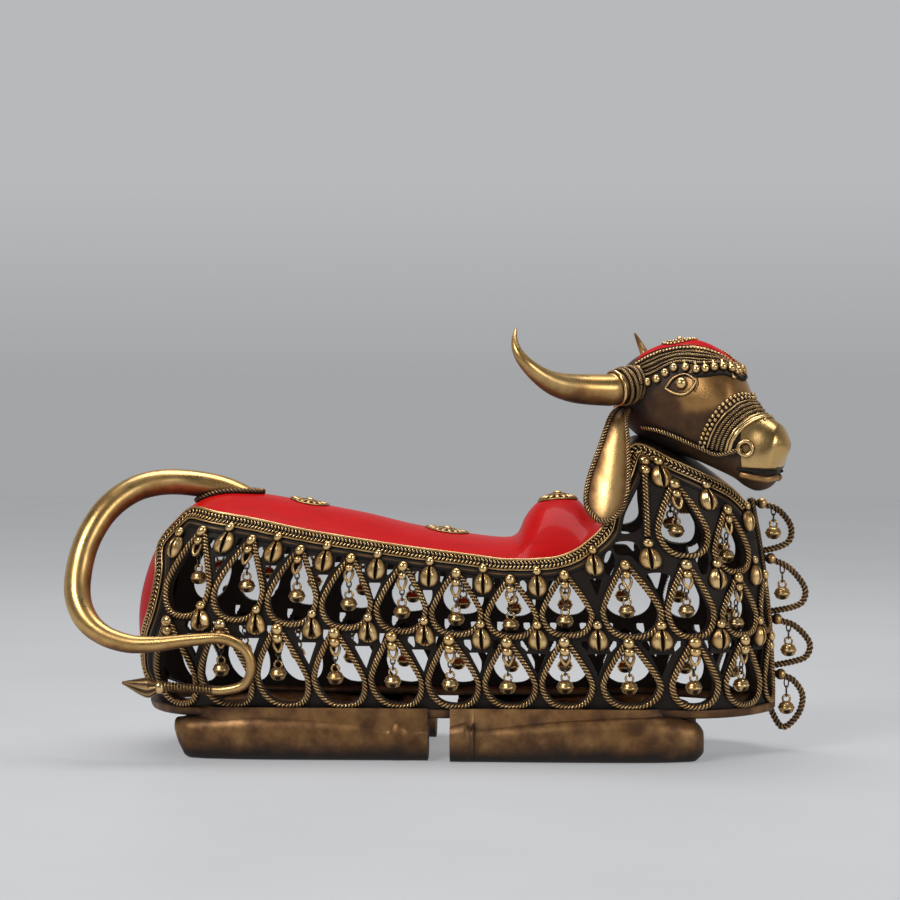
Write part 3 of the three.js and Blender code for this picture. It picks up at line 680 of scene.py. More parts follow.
def cowrie(form, u, z, open_below):
    """A cowrie shell: an egg with a dark slit between two raised lips."""
    half_across = np.array([0.07, 0.15, 0.26, 0.4, 0.58, 0.78, 0.93, 1])
    across = np.r_[-half_across[::-1], 0, half_across]
    down = np.sin(np.linspace(-math.pi / 2, math.pi / 2, 15))
    s, t = np.meshgrid(across, down)
    low, egg, arch = np.clip(-t, 0, 1), np.clip(1 - t**2, 0, 1), np.sqrt(np.clip(1 - s**2, 0, 1))
    half, slit_half = cowrie_width / 2 * np.sqrt(egg) * (1 - 0.2 * t), cowrie_slit
    along = t * cowrie_length / 2
    if open_below:
        square = cowrie_width / 2 * np.sqrt(np.clip(1 - low**6, 0, 1)) * (1 + 0.14 * low)
        half = np.where(t < 0, square, half)
        slit_half = slit_half + 0.2 * low
        along = along + low**2 * (6 * np.exp(-((s / 0.25) ** 2)) + 3 * s**4)
    groove = np.exp(-((s / slit_half) ** 2)) * (np.abs(t) < 0.93)
    lips = cowrie_lip * np.exp(-(((np.abs(s) - slit_half - 0.16) / 0.12) ** 2)) * egg
    out = np.maximum(cowrie_height * arch * egg**0.45 + lips - cowrie_groove * groove, -0.4) + 0.2
    relief = np.clip((1 - 1.3 * groove) * (0.25 + 0.85 * arch), 0, 1)
    form.add(np.stack([u + half * s, z + cowrie_lift + along, out], -1), grid(len(down), len(across)), relief)


def lattice(loops, cowries):
    """Ropes, beads and cowries of one side, in the wall's flat frame."""
    ropes, beads, up = Form(), Form(), (0, 0, 1)
    for u, top, bottom, width, bell in loops:
        outline = drop_outline(u, top + rope_above, bottom - rope_below, width + rope_wider, 1.0)
        rope(ropes, lifted(outline, 0.7))
        is_lower = bottom == lower_loop_bottom
        size = bead_radius * (lower_row_size if is_lower else 1.0)
        below_size = size * (1.0 if is_lower else bead_below_size)
        balls(beads, [[u, top + bead_above, 2.6]], size * bead_above_size, up, stretch=(1, 1, 0.78))
        balls(beads, [[u, top - bead_below, 1.6]], below_size, up, stretch=(1, 0.9, 0.8))
        if bell:
            turn = turns(32, True)
            eye_u = u + eye_half_width * np.sin(turn) * (0.72 + 0.28 * np.cos(turn))
            eye_z = top - eye_middle_drop + eye_half_height * np.cos(turn)
            sweep(ropes, lifted(np.column_stack([eye_u, eye_z]), 0.1), eye_wire, 7, relief=0.85)
    for u, z, open_below in cowries:
        cowrie(ropes, u, z, open_below)
        bead_z = z + cowrie_lift + cowrie_length / 2 + cowrie_bead_above
        balls(beads, [[u, bead_z, 2.4]], cowrie_bead_radius, up, stretch=(1, 1, 0.8))
    rope(ropes, lifted(spline(on_flat(neck_strand), 1.0, dims=2), 0.9))
    for u, z in on_flat(neck_beads):
        balls(beads, [[u, z, 2.2]], bead_radius * neck_bead_size, up)
    return ropes, beads


# Grains of the braid: how they slant, their length and thickness as shares, and their height
grain_along, grain_across, grain_length, grain_thickness, grain_height = 0.66, 0.75, 0.36, 0.3, 1.1


def braid(form, line, width, out, spacing=3.1):
    """Herringbone: two rows of slanting grains along a flat line."""
    line = even(line, spacing, 2)
    along, across = beside(line)
    ball, faces = ball_template(6, 5)
    length, thick = width * grain_length, spacing * grain_thickness
    for side in (-1, 1):
        way = along * grain_along - across * side * grain_across
        square = way[:, ::-1] * [-1, 1]
        flat = (line + across * side * width * 0.25)[:, None] + way[:, None] * ball[None, :, :1] * length
        flat = flat + square[:, None] * ball[None, :, 1:2] * thick
        level = np.full(flat.shape[:2], out) + ball[None, :, 2] * grain_height
        starts = np.arange(len(line))[:, None, None] * len(ball)
        points = np.concatenate([flat, level[..., None]], -1)
        shade = np.tile(lit(ball, 0.35, 0.75), len(line))
        form.add(points, [(f[None] + starts).reshape(-1, f.shape[1]) for f in faces], shade)


def strip(form, line, low_d, high_d, out, relief, rows=5):
    """A flat band beside a line, from one distance to another, rounded across."""
    share = np.linspace(0, 1, rows)
    d = low_d + (high_d - low_d) * share
    flat = line[:, None] + beside(line)[1][:, None] * d[None, :, None]
    height = out * (1 - (2 * share - 1) ** 4) - 0.6
    points = np.concatenate([flat, np.broadcast_to(height, (len(line), rows))[..., None]], -1)
    form.add(points, grid(len(line), rows), relief)


# Edge of the back: the braid's middle, width and height, its two ropes as (distance, radius, height),
# and two flat bands as (from, to, height); the lower band carries a painted highlight along its crest
braid_size = (3.6, 6.6, 1.9)
edge_ropes = ((-0.2, 1.0, 1.9), (7.3, 0.8, 1.6))
dark_band, flange_band = (-1.2, 8.2, 2.0), (7.6, 14.0, 1.7)
# Near black, with the middle row bright: a painted highlight along the lower band's crest
flange_relief_with_painted_highlight = [0.1, 0.08, 0.1, 0.5, 0.12, 0.08, 0.08]

# Foot of the body: how far it stands out and reaches in, and its waves
foot_out, foot_in, foot_wave, foot_wave_length = 2.3, -6.8, 0.35, 17


def top_band():
    """Braid and ropes that edge the back, running from the rump to the throat."""
    form, line = Form(), spline(top_edge, 1.6, dims=2)
    _, across = beside(line)
    middle, width, height = braid_size
    braid(form, line + across * middle, width, height)
    for d, radius, out in edge_ropes:
        sweep(form, lifted(line + across * d, out), radius, 7, relief=0.8)
    strip(form, line, *dark_band, 0.1)
    strip(form, line, *flange_band, np.tile(flange_relief_with_painted_highlight, len(line)), len(flange_relief_with_painted_highlight))
    return form


def bottom_band():
    """The plain band along the foot of the body, a little wavy."""
    u = np.linspace(0, total_arc * 0.995, 220)[:, None]
    half = rim_height / 2
    turn = np.linspace(-math.pi / 2, math.pi / 2, 9)
    z = np.r_[-half, half * np.sign(np.sin(turn)) * abs(np.sin(turn)) ** 0.7, half] + rim_z
    out = np.r_[foot_in, foot_out * np.cos(turn) ** 0.5, foot_in]
    points = np.stack(np.broadcast_arrays(u, z + foot_wave * np.sin(u / foot_wave_length), out), -1)
    return Form().add(points, grid(len(u), len(z), True), 0.5)


all_loops = loops_of_side()
openings = [drop_outline(u, top, bottom, width, gap_step) for u, top, bottom, width, _ in all_loops]
openings += gaps_by_cowries() + [spline(on_flat(corners), gap_step, True, 2)[:-1] for corners in neck_gaps]
side_ropes, side_beads = lattice(all_loops, cowrie_places())
side_parts = (
    ("web", web(openings), dark_web, 50),
    ("ropes", side_ropes, antique_brass, None),
    ("beads", side_beads, antique_brass, None),
    ("top_band", top_band(), antique_brass, None),
    ("bottom_band", bottom_band(), bronze_brown, None),
)
for side, side_name in both_sides:
    for part, source, material, sharp in side_parts:
        bent = Form().extend(source, lambda points: on_wall(points, side), side < 0)
        piece(f"{side_name}_{part}", bent, material, sharp=sharp)


# Back, hump and rump

back_line = spline(np.column_stack([back_stations[:, :2], top_edge]), 2.0, dims=2)
back_run = run_along(back_line[:, :2])


def back_point(s, t, sunk=0.0):
    """The back's surface: s along its middle from under the rump, t across it from edge to edge."""
    x, z, u, top = (np.interp(s, back_run, column) for column in back_line.T)
    edge_x, edge_y, edge_z = on_wall(lifted(np.column_stack([u, top]), sunk)).T
    share = 1 - t**2
    return np.column_stack([edge_x + (x - edge_x) * share, edge_y * t, edge_z + (z - edge_z) * share])


def on_back(flat):
    """Points given as [s along the middle, y, out from the back]."""
    s, y, out = np.asarray(flat, float).T
    t = y / back_point(s, np.ones(len(s)))[:, 1]
    along = back_point(s + 0.5, t) - back_point(s - 0.5, t)
    over = back_point(s, t + 0.01) - back_point(s, t - 0.01)
    return back_point(s, t) + unit(np.cross(along, over)) * out[:, None]


def back_at(x, z):
    """How far along the middle of the back a point beside it lies."""
    return back_run[np.argmin(np.hypot(back_line[:, 0] - x, back_line[:, 1] - z))]


def back_plate(start, end, sunk=-1.0, step=2.2, across=53):
    s = np.linspace(start, end, round((end - start) / step))
    t = np.linspace(-1, 1, across)
    points = np.array([back_point(np.full(len(t), a), t, sunk) for a in s])
    return Form().add(points, grid(len(s), len(t)))


nape_place = (112, 178)
nape_start = back_at(*nape_place)
piece("red_back", back_plate(0, nape_start), red_lacquer)
piece("nape", back_plate(nape_start, back_run[-1]), bronze_brown)

# Medallions as [x, z, radius, petals]
medallion_places = ((-114, 192, 15, 16), (-6, 169, 16.5, 18), (80, 198, 15.5, 16))
petal_middle, petal_half_length, petal_lift, petal_height = 0.72, 0.3, 0.8, 1.9
dome_radius, dome_height, dome_lift = 0.26, 3.2, 1.0
daisy_rings = ((0.4, 0.9, 1.6), (1.0, 1.0, 0.7))


def daisy(radius, petals):
    """A flat daisy of petals round a domed middle."""
    form = Form()
    ball, faces = ball_template(8, 6)
    wide = radius * petal_middle * math.sin(math.pi / petals) * 1.02
    for turn in turns(petals):
        way, square = np.array([math.cos(turn), math.sin(turn)]), np.array([-math.sin(turn), math.cos(turn)])
        flat = way * radius * petal_middle + ball[:, :1] * radius * petal_half_length * way
        flat = flat + ball[:, 1:2] * wide * (1 + 0.25 * ball[:, :1]) * square
        form.add(np.column_stack([flat, petal_lift + petal_height * ball[:, 2]]), faces, lit(ball))
    ball, faces = ball_template(16, 9)
    dome_size = [radius * dome_radius, radius * dome_radius, dome_height]
    form.add(ball * dome_size + [0, 0, dome_lift], faces, lit(ball))
    for share, wire, high in daisy_rings:
        sweep(form, lifted(circle(radius * share, 48, True), high), wire, 6, relief=0.7)
    disc = np.vstack([lifted(circle(r, 32), 0.7) for r in (radius, radius * 0.5, 0.01)])
    return form.add(disc, grid(3, 32, True), 0.1)


medallions = Form()
for x, z, radius, petals in medallion_places:
    medallions.extend(daisy(radius, petals), lambda points: on_back(points + [back_at(x, z), 0, -0.4]))
piece("medallions", medallions)


# Legs: [x, half height, half width, y from the leg's line, lift], half height and width as shares

leg_half_height, leg_half_width, rear_leg_y, front_leg_y = 16, 16.5, 60, 65
leg_squareness, leg_swell = 0.72, 1.04
rear_leg = [
    [-211, 0.3, 0.7, -14, 19], [-206, 0.7, 0.84, -11, 7], [-196, 0.98, 0.93, -6, 0], [-150, 1.1, 1, 0, 0],
    [-75, 1, 0.92, 0, 0], [-52, 0.9, 0.85, 0, 0], [-46, 0.9, 0.85, 0, 0], [-42, 1.02, 0.94, 0, 0],
    [-36, 1, 0.93, 0, 0], [-30, 0.88, 0.84, 0, 0], [-17, 0.9, 0.85, 0, 0],
]
front_leg = [
    [0, 0.9, 0.85, 0, 0], [12, 0.98, 0.94, 0, 0], [15, 0.86, 0.84, 0, 0], [18, 0.98, 0.94, 0, 0],
    [22, 0.86, 0.86, 0, 0], [80, 1, 0.96, 0, 0], [150, 1.1, 1, -2, 0], [181, 0.95, 0.88, -8, 0],
    [188, 0.72, 0.76, -11, 3], [191, 0.5, 0.6, -12, 6],
]
# Half width of the body's foot at some x, and where the skirt between it and the legs begins and ends
foot_x, foot_y = [-230, -205, -176, 146, 180, 215], [46, 62, 69.5, 69.5, 64, 50]
skirt_start, skirt_end, skirt_rows = -204, 178, 9
skirt_heights = (40, 29, 15)
drawn_in_most, drawn_in_length = 16, 40
leg_relief = 0.56


def leg(line, side, around=32):
    """A leg with a rounded square section, flat where it lies on the ground."""
    turn = turns(around) + math.pi / around
    across, up = (leg_swell * np.sign(w) * abs(w) ** leg_squareness for w in (np.cos(turn), np.sin(turn)))
    x, high, wide, y, lift = (column[:, None] for column in line.T)
    z = np.maximum(0, lift + high * (1 + up))
    points = np.stack(np.broadcast_arrays(x, side * (y + wide * across), z), -1)
    return points, tube(len(line), around, side < 0)


def skirt(line, side):
    """The foot of the body, drawn down onto the leg in a smooth curve."""
    line = line[(line[:, 0] > skirt_start) & (line[:, 0] < skirt_end)]
    x, _, wide, y, _ = (column[:, None] for column in line.T)
    body_y = np.interp(x, foot_x, foot_y) + 1.5
    leg_side = np.maximum(y + wide * 1.02, body_y - 3)
    from_end = np.where(x < 0, x - skirt_start + 2, skirt_end + 4 - x)
    drawn_in = drawn_in_most * np.clip(1 - from_end / drawn_in_length, 0, 1) ** 2
    middle_y = body_y + (leg_side - body_y) * 0.45
    share = np.linspace(0, 1, skirt_rows)
    skirt_y = bow(body_y, middle_y, leg_side, share) - drawn_in
    points = np.stack(np.broadcast_arrays(x, side * skirt_y, bow(*skirt_heights, share)), -1)
    faces = grid(len(x), skirt_rows)
    return points, faces if side < 0 else faces[:, ::-1]


legs = Form()
for side, _ in both_sides:
    for stations, leg_y in ((rear_leg, rear_leg_y), (front_leg, front_leg_y)):
        sized = np.array(stations) * [1, leg_half_height, leg_half_width, 1, 1] + [0, 0, 0, leg_y, 0]
        leg_line = spline(sized, 2.0, dims=1)
        legs.add(*leg(leg_line, side), leg_relief)
        legs.add(*skirt(leg_line, side), leg_relief)
piece("legs", legs, bronze_brown, sharp=60)


# Tail: [x, y, z, share of the radius]

tail_radius, tail_pull, tail_pull_x = 10.1, 0.93, -270
tail_stations = [
    [-150, 0, 188, 0.9], [-178, 0, 201, 1], [-206, -3, 207, 1], [-230, -12, 207.5, 1], [-251, -22, 201, 1],
    [-269, -35, 185, 1], [-282, -48, 160, 1], [-286, -60, 130, 1], [-279, -70, 110, 0.93],
    [-263, -77, 96, 0.8], [-242, -80, 89, 0.7], [-220, -81, 89, 0.58], [-194, -81, 92, 0.47],
    [-170, -81, 93, 0.42], [-154, -81, 85, 0.38], [-149, -81, 72, 0.37], [-154, -81, 59, 0.37],
    [-170, -80, 54, 0.35], [-190, -80, 55, 0.32], [-216, -80, 57, 0.32],
]
tail_bud = [
    [-216, -80, 57, 0.32], [-221, -80, 56.5, 0.46], [-226, -80, 56, 0.78],
    [-231, -80, 56.5, 0.7], [-239, -80, 58, 0.4], [-247, -80, 59.5, 0.1],
]
bud_bead, bud_bead_radius, bud_ribs = [-218.5, -80, 56.3], 4.9, 8
wrap_end_x, wrap_top, wrap_radius, wrap_pitch = -178, 62, 4.3, 2.4
straight = 1e6
collar_place, collar_half_size = (-177, 200), [26, 13.5]

tail_line = spline(tail_stations, 2.0)
past = np.minimum(tail_line[:, 0] - tail_pull_x, 0)
tail_line[:, 0] += (tail_pull - 1) * past
tail = Form()
painted_light_bar(tail, tail_line[:, :3], tail_line[:, 3] * tail_radius)
piece("tail", tail, polished_brass)


def bud_and_wrap():
    """The ribbed bud at the tail's end, the cord wound round the end and the collar at the root."""
    form = Form()
    bud = spline(tail_bud, 0.9)
    sweep(form, bud[:, :3], bud[:, 3] * tail_radius, 24, bud_ribs, straight, 0.2)
    wrap = tail_line[(tail_line[:, 0] < wrap_end_x) & (tail_line[:, 2] < wrap_top), :3]
    sweep(form, even(wrap, 0.5), wrap_radius, 14, 1, wrap_pitch, 0.3)
    balls(form, [bud_bead], bud_bead_radius, across=16, down=10)
    collar = circle(1.0, 119, True) * collar_half_size + [back_at(*collar_place), 0]
    return rope(form, on_back(lifted(collar, 1.6)), 2.6)


piece("tail_trim", bud_and_wrap())


# Head: [x, top, bottom, half width]

head_sections = [
    [-22, 10, -24, 18], [-8, 21, -38, 27], [6, 28, -46, 31], [22, 33, -52, 33], [40, 34, -57, 32],
    [58, 27, -64, 30], [74, 14, -71, 26.5], [83, -4, -77, 23], [92, -18, -80, 20],
    [102, -25.5, -76.5, 18], [108, -29.5, -67, 15.5], [111, -32, -58, 13], [115, -39, -51, 7],
]
head_line = spline(head_sections, 1.5, dims=1)
head_turns = turns(64)
head_cos, head_sin = math.cos(head_turn), math.sin(head_turn)
head_axes = np.array([[head_cos, head_sin, 0], [-head_sin, head_cos, 0], [0, 0, 1]])
mouth_z, muzzle_start, muzzle_end, muzzle_tip_x, muzzle_rings = -62.5, 87, 115, 116.6, 24
# The head's colour is brighter from here forwards and upwards
face_x, face_fade, cheek_z, cheek_fade = 34, 14, -26, 18


def on_head(points):
    """Points given in the head's frame."""
    return np.asarray(points, float).reshape(-1, 3) @ head_axes + poll


def off_head(points):
    """The same points in the head's frame."""
    return (points - poll) @ head_axes.T


def mirrored_head(points):
    """The same points on the other side of the head."""
    return on_head(off_head(points) * [1, -1, 1])


def both_head_sides(form):
    return Form().extend(form).extend(form, mirrored_head, True)


def head_at(x):
    """Top, bottom and half width of the head at x."""
    return (np.interp(x, head_line[:, 0], head_line[:, k]) for k in (1, 2, 3))


def head_rings(x, swell=0.0):
    """Rings of the head's surface at some x, grown outwards by the swell."""
    x = np.reshape(x, (-1, 1))
    top, bottom, half = head_at(x)
    y, up = (half + swell) * np.cos(head_turns), ((top - bottom) / 2 + swell) * np.sin(head_turns)
    return np.stack([x + 0 * y, y, (top + bottom) / 2 + up], -1)


def on_crown(x, y, out):
    """Points on top of the head."""
    top, bottom, half = head_at(x)
    z = (top + bottom) / 2 + (top - bottom) / 2 * np.sqrt(np.clip(1 - (y / half) ** 2, 0, 1)) + out
    return on_head(np.stack([x + 0 * y, y, z], -1))


head_local = head_rings(head_line[:, 0]).reshape(-1, 3)
head_points, head_faces = on_head(head_local), tube(len(head_line), len(head_turns))
brow = np.clip((head_local[:, 0] - face_x) / face_fade, 0, 1)
brow *= np.clip((head_local[:, 2] - cheek_z) / cheek_fade, 0, 1)
piece("head", Form().add(head_points, head_faces, 0.3 + 0.75 * brow), bronze_brown)


def muzzle():
    """The polished muzzle on the head's end, down to the mouth; its back is open."""
    tip, tip_middle = head_rings(muzzle_tip_x), [0, -45]
    tip[..., 1:] = tip_middle + 0.55 * (tip[..., 1:] - tip_middle)
    points = np.concatenate([head_rings(np.linspace(muzzle_start, muzzle_end, muzzle_rings), 0.9), tip])
    points[..., 2] = np.maximum(points[..., 2], mouth_z)
    faces = tube(len(points), len(head_turns))
    return Form().add(on_head(points), [faces[0], faces[2]])


piece("muzzle", muzzle(), polished_brass)

# The ornament is laid out by its places in the picture, in pixels, and cast onto the head from there
cap_edge = [
    (636, 362), (645, 356), (658, 350.5), (675, 347), (691, 346),
    (705, 348), (716, 352.5), (725, 358), (733, 365), (740, 371),
]
studs = [
    (639.7, 385.6), (648, 383), (656.7, 380), (665, 374), (673.6, 369), (685, 368.6), (695.5, 370.5),
    (704.5, 370), (713, 368.6), (721.5, 368), (729.4, 370), (736, 371.7), (741.5, 373),
]
brow_start, brow_end, last_stud, first_stem, brow_drop = (676, 374), (741.5, 380), 12, 5, 6
stud_radius, last_stud_radius, side_stud_radius, eye_radius = 3.4, 2.5, 2.6, 4.7
side_stud_rings = ((3.2, 0.8), (4.6, 1.0))

# Ropes as (share of the way from one line to the other, radius), and for the nose whether it is twisted
brow_ropes = ((0.28, 1.1), (0.42, 1.5), (0.58, 1.1), (0.72, 1.5))
nose_ropes = ((0.27, 0.8, False), (0.42, 1.6, True), (0.57, 1.6, True), (0.72, 1.6, True), (0.88, 1.2, False))
band_back = [(699, 446), (703, 434), (709, 421), (718, 409), (729, 399), (740, 395), (747, 396)]
band_front = [(729, 452), (731, 442), (736, 433), (743, 426), (752, 420.5), (761, 418), (769, 418)]
eye_middle = (680.7, 384)
eye_lids = [
    [(665, 389), (673, 379), (683, 375), (690, 377), (696, 382)],
    [(665, 389), (673, 393.5), (683, 395), (691, 390), (696, 382)],
]
eye_lashes = [[(688, 375), (693, 381), (691, 391)], [(691, 374), (697, 382), (694, 392)]]
mouth_line = [(737, 469), (749, 470.5), (761.5, 472), (775, 471.7)]
lip_line = [(740, 474), (752, 477), (765, 479), (775, 477)]
bridle_line = [
    (741, 448.6), (729, 452), (717, 453.5), (707, 450), (689, 442), (670.6, 434), (656, 429), (642.7, 427),
]
nose_ring_middle = (744.5, 448.6)
nose_ring_radius, nose_ring_wire, bridle_radius = 5.2, 1.5, 2.0
side_stud = (635.8, 373)
head_tree = BVHTree.FromPolygons(head_points.tolist(), head_faces[0].tolist())


def seen_at(pixels, step=1.0):
    """Points of the head, and its directions outwards there, along a line in the picture."""
    pixels = np.atleast_2d(np.asarray(pixels, float))
    if len(pixels) > 1:
        pixels = even(pixels, 1.0, 2)
    found = []
    for x, z in map(picture_place, pixels):
        way = Vector(np.array([x, picture_plane, z]) - eye_place).normalized()
        place, normal, *_ = head_tree.ray_cast(Vector(eye_place), way)
        if place is None:
            place, normal, *_ = head_tree.find_nearest(Vector(eye_place) + way * head_distance)
        found.append([*place, *(normal if normal.y < 0.3 else -normal)])
    found = np.array(found)
    return even(found, step) if len(found) > 1 else found


def raised(line, out):
    return line[:, :3] + unit(line[:, 3:]) * out


def between(first, second, share, count=24):
    """A line between two lines of the picture."""
    both = []
    for line in (first, second):
        at, own = np.linspace(0, 1, count), np.linspace(0, 1, len(line))
        both.append(np.column_stack([np.interp(at, own, column) for column in np.transpose(line)]))
    return both[0] + (both[1] - both[0]) * share


def bead_row(form, line, radius, spacing, out=0.6):
    row = even(line, spacing)
    balls(form, raised(row, out), radius, row[:, 3:], 8, 5)


def brow_trim(form, dark):
    """The ropes and studs between the cap and the brow, and the dark line under them."""
    bead_row(form, seen_at(between(cap_edge, studs, 0.12)), 1.35, 2.7)
    for share, radius in brow_ropes:
        rope(form, raised(seen_at(between(cap_edge, studs, share)), 0.7), radius, 0.8)
    for k, pixel in enumerate(studs):
        spot = seen_at([pixel])
        balls(form, raised(spot, 1.2), stud_radius if k < last_stud else last_stud_radius, spot[0, 3:], 12, 8)
        if k >= first_stem:
            stem = seen_at([pixel, (pixel[0] - 1.5, pixel[1] - 7)])
            sweep(form, raised(stem, 1.0), np.linspace(1.9, 1.0, len(stem)), 8)
    under = [brow_start] + [(x, y + brow_drop) for x, y in studs[6:last_stud]] + [brow_end]
    sweep(dark, raised(seen_at(under), 0.4), 1.5, 8, relief=0.4)
    spot = seen_at([side_stud])
    balls(form, raised(spot, 1.5), side_stud_radius, spot[0, 3:], 14, 9)
    for radius, wire in side_stud_rings:
        ring(form, raised(spot, 1.2)[0], radius, wire, spot[0, 3:], 8, 24)


def eye_trim(form):
    """The eye's ball with its lids and lashes."""
    spot = seen_at([eye_middle])
    balls(form, raised(spot, 0.4), eye_radius, spot[0, 3:], 20, 12)
    for lines, out, radius, sides, relief in ((eye_lids, 0.8, 1.1, 8, 0.75), (eye_lashes, 0.5, 0.7, 6, 0.6)):
        for line in lines:
            sweep(form, raised(seen_at(spline(line, 1.0, dims=2), 0.8), out), radius, sides, relief=relief)


def nose_band(form):
    """Beads and ropes round the nose, behind the muzzle."""
    for share in (0.0, 0.14):
        bead_row(form, seen_at(between(band_back, band_front, share)), 1.7, 3.9)
    for share, radius, twisted in nose_ropes:
        line = raised(seen_at(between(band_back, band_front, share)), 0.9)
        if twisted:
            rope(form, line, radius, 0.8)
        else:
            sweep(form, line, radius, 8, relief=0.9)
    sweep(form, raised(seen_at(between(band_back, band_front, 1.0)), 1.0), 1.7, 10, relief=0.95)


trim, dark_trim = Form(), Form()
brow_trim(trim, dark_trim)
eye_trim(trim)
nose_band(trim)
sweep(dark_trim, raised(seen_at(mouth_line), 0.3), 1.1, 8, relief=0.0)
lip = sweep(Form(), raised(seen_at(lip_line), 0.2), 2.7, 12, relief=0.75)
piece("head_ornament", both_head_sides(trim))
piece("brow_and_mouth", both_head_sides(dark_trim), dark_web)
piece("lip", both_head_sides(lip), bronze_brown)

# Crown on the cap: rings of beads as (radius, bead, count)
crown_rings, crown_x = ((12.5, 1.5, 26), (8.5, 1.3, 18), (4.5, 1.2, 10), (0, 2.6, 1)), 27


def cap():
    """The red cap, which ends at the line of the ornament."""
    edge = off_head(seen_at(cap_edge)[:, :3])
    edge = edge[np.argsort(edge[:, 0])]
    x = np.linspace(edge[0, 0], edge[-1, 0] - 1, 40)[:, None]
    y = np.interp(x, edge[:, 0], abs(edge[:, 1])) * np.linspace(-1, 1, 33)
    return Form().add(on_crown(x, y, 0.5), grid(*y.shape))


def crown():
    form = Form()
    for radius, bead, count in crown_rings:
        x, y = circle(radius, count).T
        balls(form, on_crown(crown_x + x, y, 0.6), bead, (0, 0, 1), 8, 5)
    return form


piece("cap", cap(), red_lacquer)
piece("crown", crown())


# Horns: [x, y, z, share of the radius] in the head's frame, and ropes as (y, out, wire)

horn_radius, horn_spread, horn_rope_pitch = 12.1, 0.996, 5
horn_stations = [
    [6, 18, 0, 0.9], [-1, 31, 0, 1], [-3, 35, -1, 1], [-8, 44, -3, 1], [-10, 48, -4, 1], [-25, 69, -3, 0.93],
    [-34, 86, 0, 0.78], [-41, 99, 6, 0.6], [-48, 109, 15, 0.44], [-54, 112, 24, 0.32], [-58, 110, 33, 0.2],
    [-60, 104, 42, 0.07],
]
horn_wraps = ((27, 1.2, 1.9), (30.5, 1.4, 1.9), (34, 1.4, 1.9), (37.5, 1.2, 1.9), (41.5, 0.9, 1.3))
horns, horn_ropes = Form(), Form()
for side, _ in both_sides:
    horn = spline(horn_stations, 2.0) * [1, side * horn_spread, 1, horn_radius]
    middles, radii = on_head(horn[:, :3]), horn[:, 3]
    painted_light_bar(horns, middles, radii)
    for y, out, wire in horn_wraps:
        i = int(np.argmin(abs(abs(horn[:, 1]) - y)))
        strands = 3 if wire > 1.5 else 0
        normal = middles[i + 1] - middles[i - 1]
        radius = radii[i] + out
        ring(horn_ropes, middles[i], radius, wire, normal, 12, 90, strands=strands, pitch=horn_rope_pitch)
piece("horns", horns, polished_brass)
piece("horn_ropes", horn_ropes)


# Ears: [down, x, half width, out from the head's middle]

ear_stations = [
    [-2, -8, 4, 14], [8, -7, 6.5, 35], [30, -5, 11.5, 46],
    [56, -4, 16.5, 57], [75, -3.5, 15.5, 64], [86, -4, 5, 67],
]
ear_thickness, ear_dish, ear_z = 2.7, 0.22, -16
far_ear_out, far_ear_start, far_ear_length = 13, 8, 48
ear_front, ear_back = np.linspace(-1, 1, 25), np.linspace(1, -1, 13)


def ear(side):
    """Rings of points round an ear's dished leaf, its front first, and their relief."""
    down, x, wide, out = (column[:, None] for column in spline(ear_stations, 1.6, dims=1).T)
    share = np.r_[ear_front, ear_back]
    behind = np.arange(len(share)) >= len(ear_front)
    further = far_ear_out * np.clip((down - far_ear_start) / far_ear_length, 0, 1) * (side > 0)
    y = side * (out + further + wide * ear_dish * share**2 - ear_thickness * behind)
    points = np.stack(np.broadcast_arrays(x + wide * share, y, ear_z - down), -1)
    gold = np.where(behind, 0.4, 0.92 - 0.6 * abs(share) ** 1.5)
    return on_head(points).reshape(points.shape), np.tile(gold, len(down))


ears, ear_ropes = Form(), Form()
for side, _ in both_sides:
    points, relief = ear(side)
    faces = grid(*points.shape[:2], True)
    ears.add(points, faces if side > 0 else faces[:, ::-1], relief)
    edge = np.vstack([points[:, 0], points[::-1, len(ear_front) - 1], points[:1, 0]])
    rope(ear_ropes, even(edge, 1.2), 2.2)
piece("ears", ears, polished_brass)
piece("ear_ropes", ear_ropes)


# Nose ring and its rope

bridle, nose = Form(), seen_at([nose_ring_middle])
ring(bridle, raised(nose, 2.2)[0], nose_ring_radius, nose_ring_wire, nose[0, 3:], 12, 40)
rope(bridle, raised(seen_at(spline(bridle_line, 2.0, dims=2)), 1.6), bridle_radius)
piece("bridle", bridle)


# Chest strip and the rope loops that stand out from it: [x, z] of their peaks, outermost places, lowest
# places and bells

chest_loops = [
    [236, 193, 261, 175, 252, 158, 248, 169],
    [243, 150, 272, 127, 262, 111, 255, 122],
    [248, 103, 276, 84, 264, 69, 260, 78],
    [251, 60, 271, 42, 255, 18, 258.5, 33],
]
strip_top, strip_points, fringe_radius, fringe_bead = 196, 180, 2.8, 4.4
strip_ropes = ((-4.6, 2.3, 0), (4.6, 2.3, 0), (-1.6, 1.6, 1.4), (1.6, 1.6, 1.4))


def chest_loop(peak_x, peak_z, out_x, out_z, low_x, low_z, *_):
    root = max(low_z - 4, rim_z)
    points = [
        [chest_at(peak_z) - 3, 0, peak_z + 1],
        [peak_x + 4, 0, peak_z - 2],
        [(peak_x + out_x) / 2 + 3, 0, (peak_z + out_z) / 2 + 3],
        [out_x, 0, out_z],
        [(out_x + low_x) / 2 + 4, 0, (out_z + low_z) / 2 - 3],
        [low_x, 0, low_z],
        [chest_at(root) - 3, 0, root],
    ]
    return spline(points, 0.9)


fringe = Form()
strip_z = np.linspace(strip_top, rim_z - 2, strip_points)
for y, radius, out in strip_ropes:
    rope(fringe, np.column_stack([chest_at(strip_z) + out, np.full(strip_points, y), strip_z]), radius)
for place in chest_loops:
    rope(fringe, chest_loop(*place), fringe_radius)
    balls(fringe, [[place[0] + 3, 0, place[1] - 1]], fringe_bead, (1, 0, 0.3))
piece("chest_fringe", fringe)


# Bells: [radius, z] down their profile

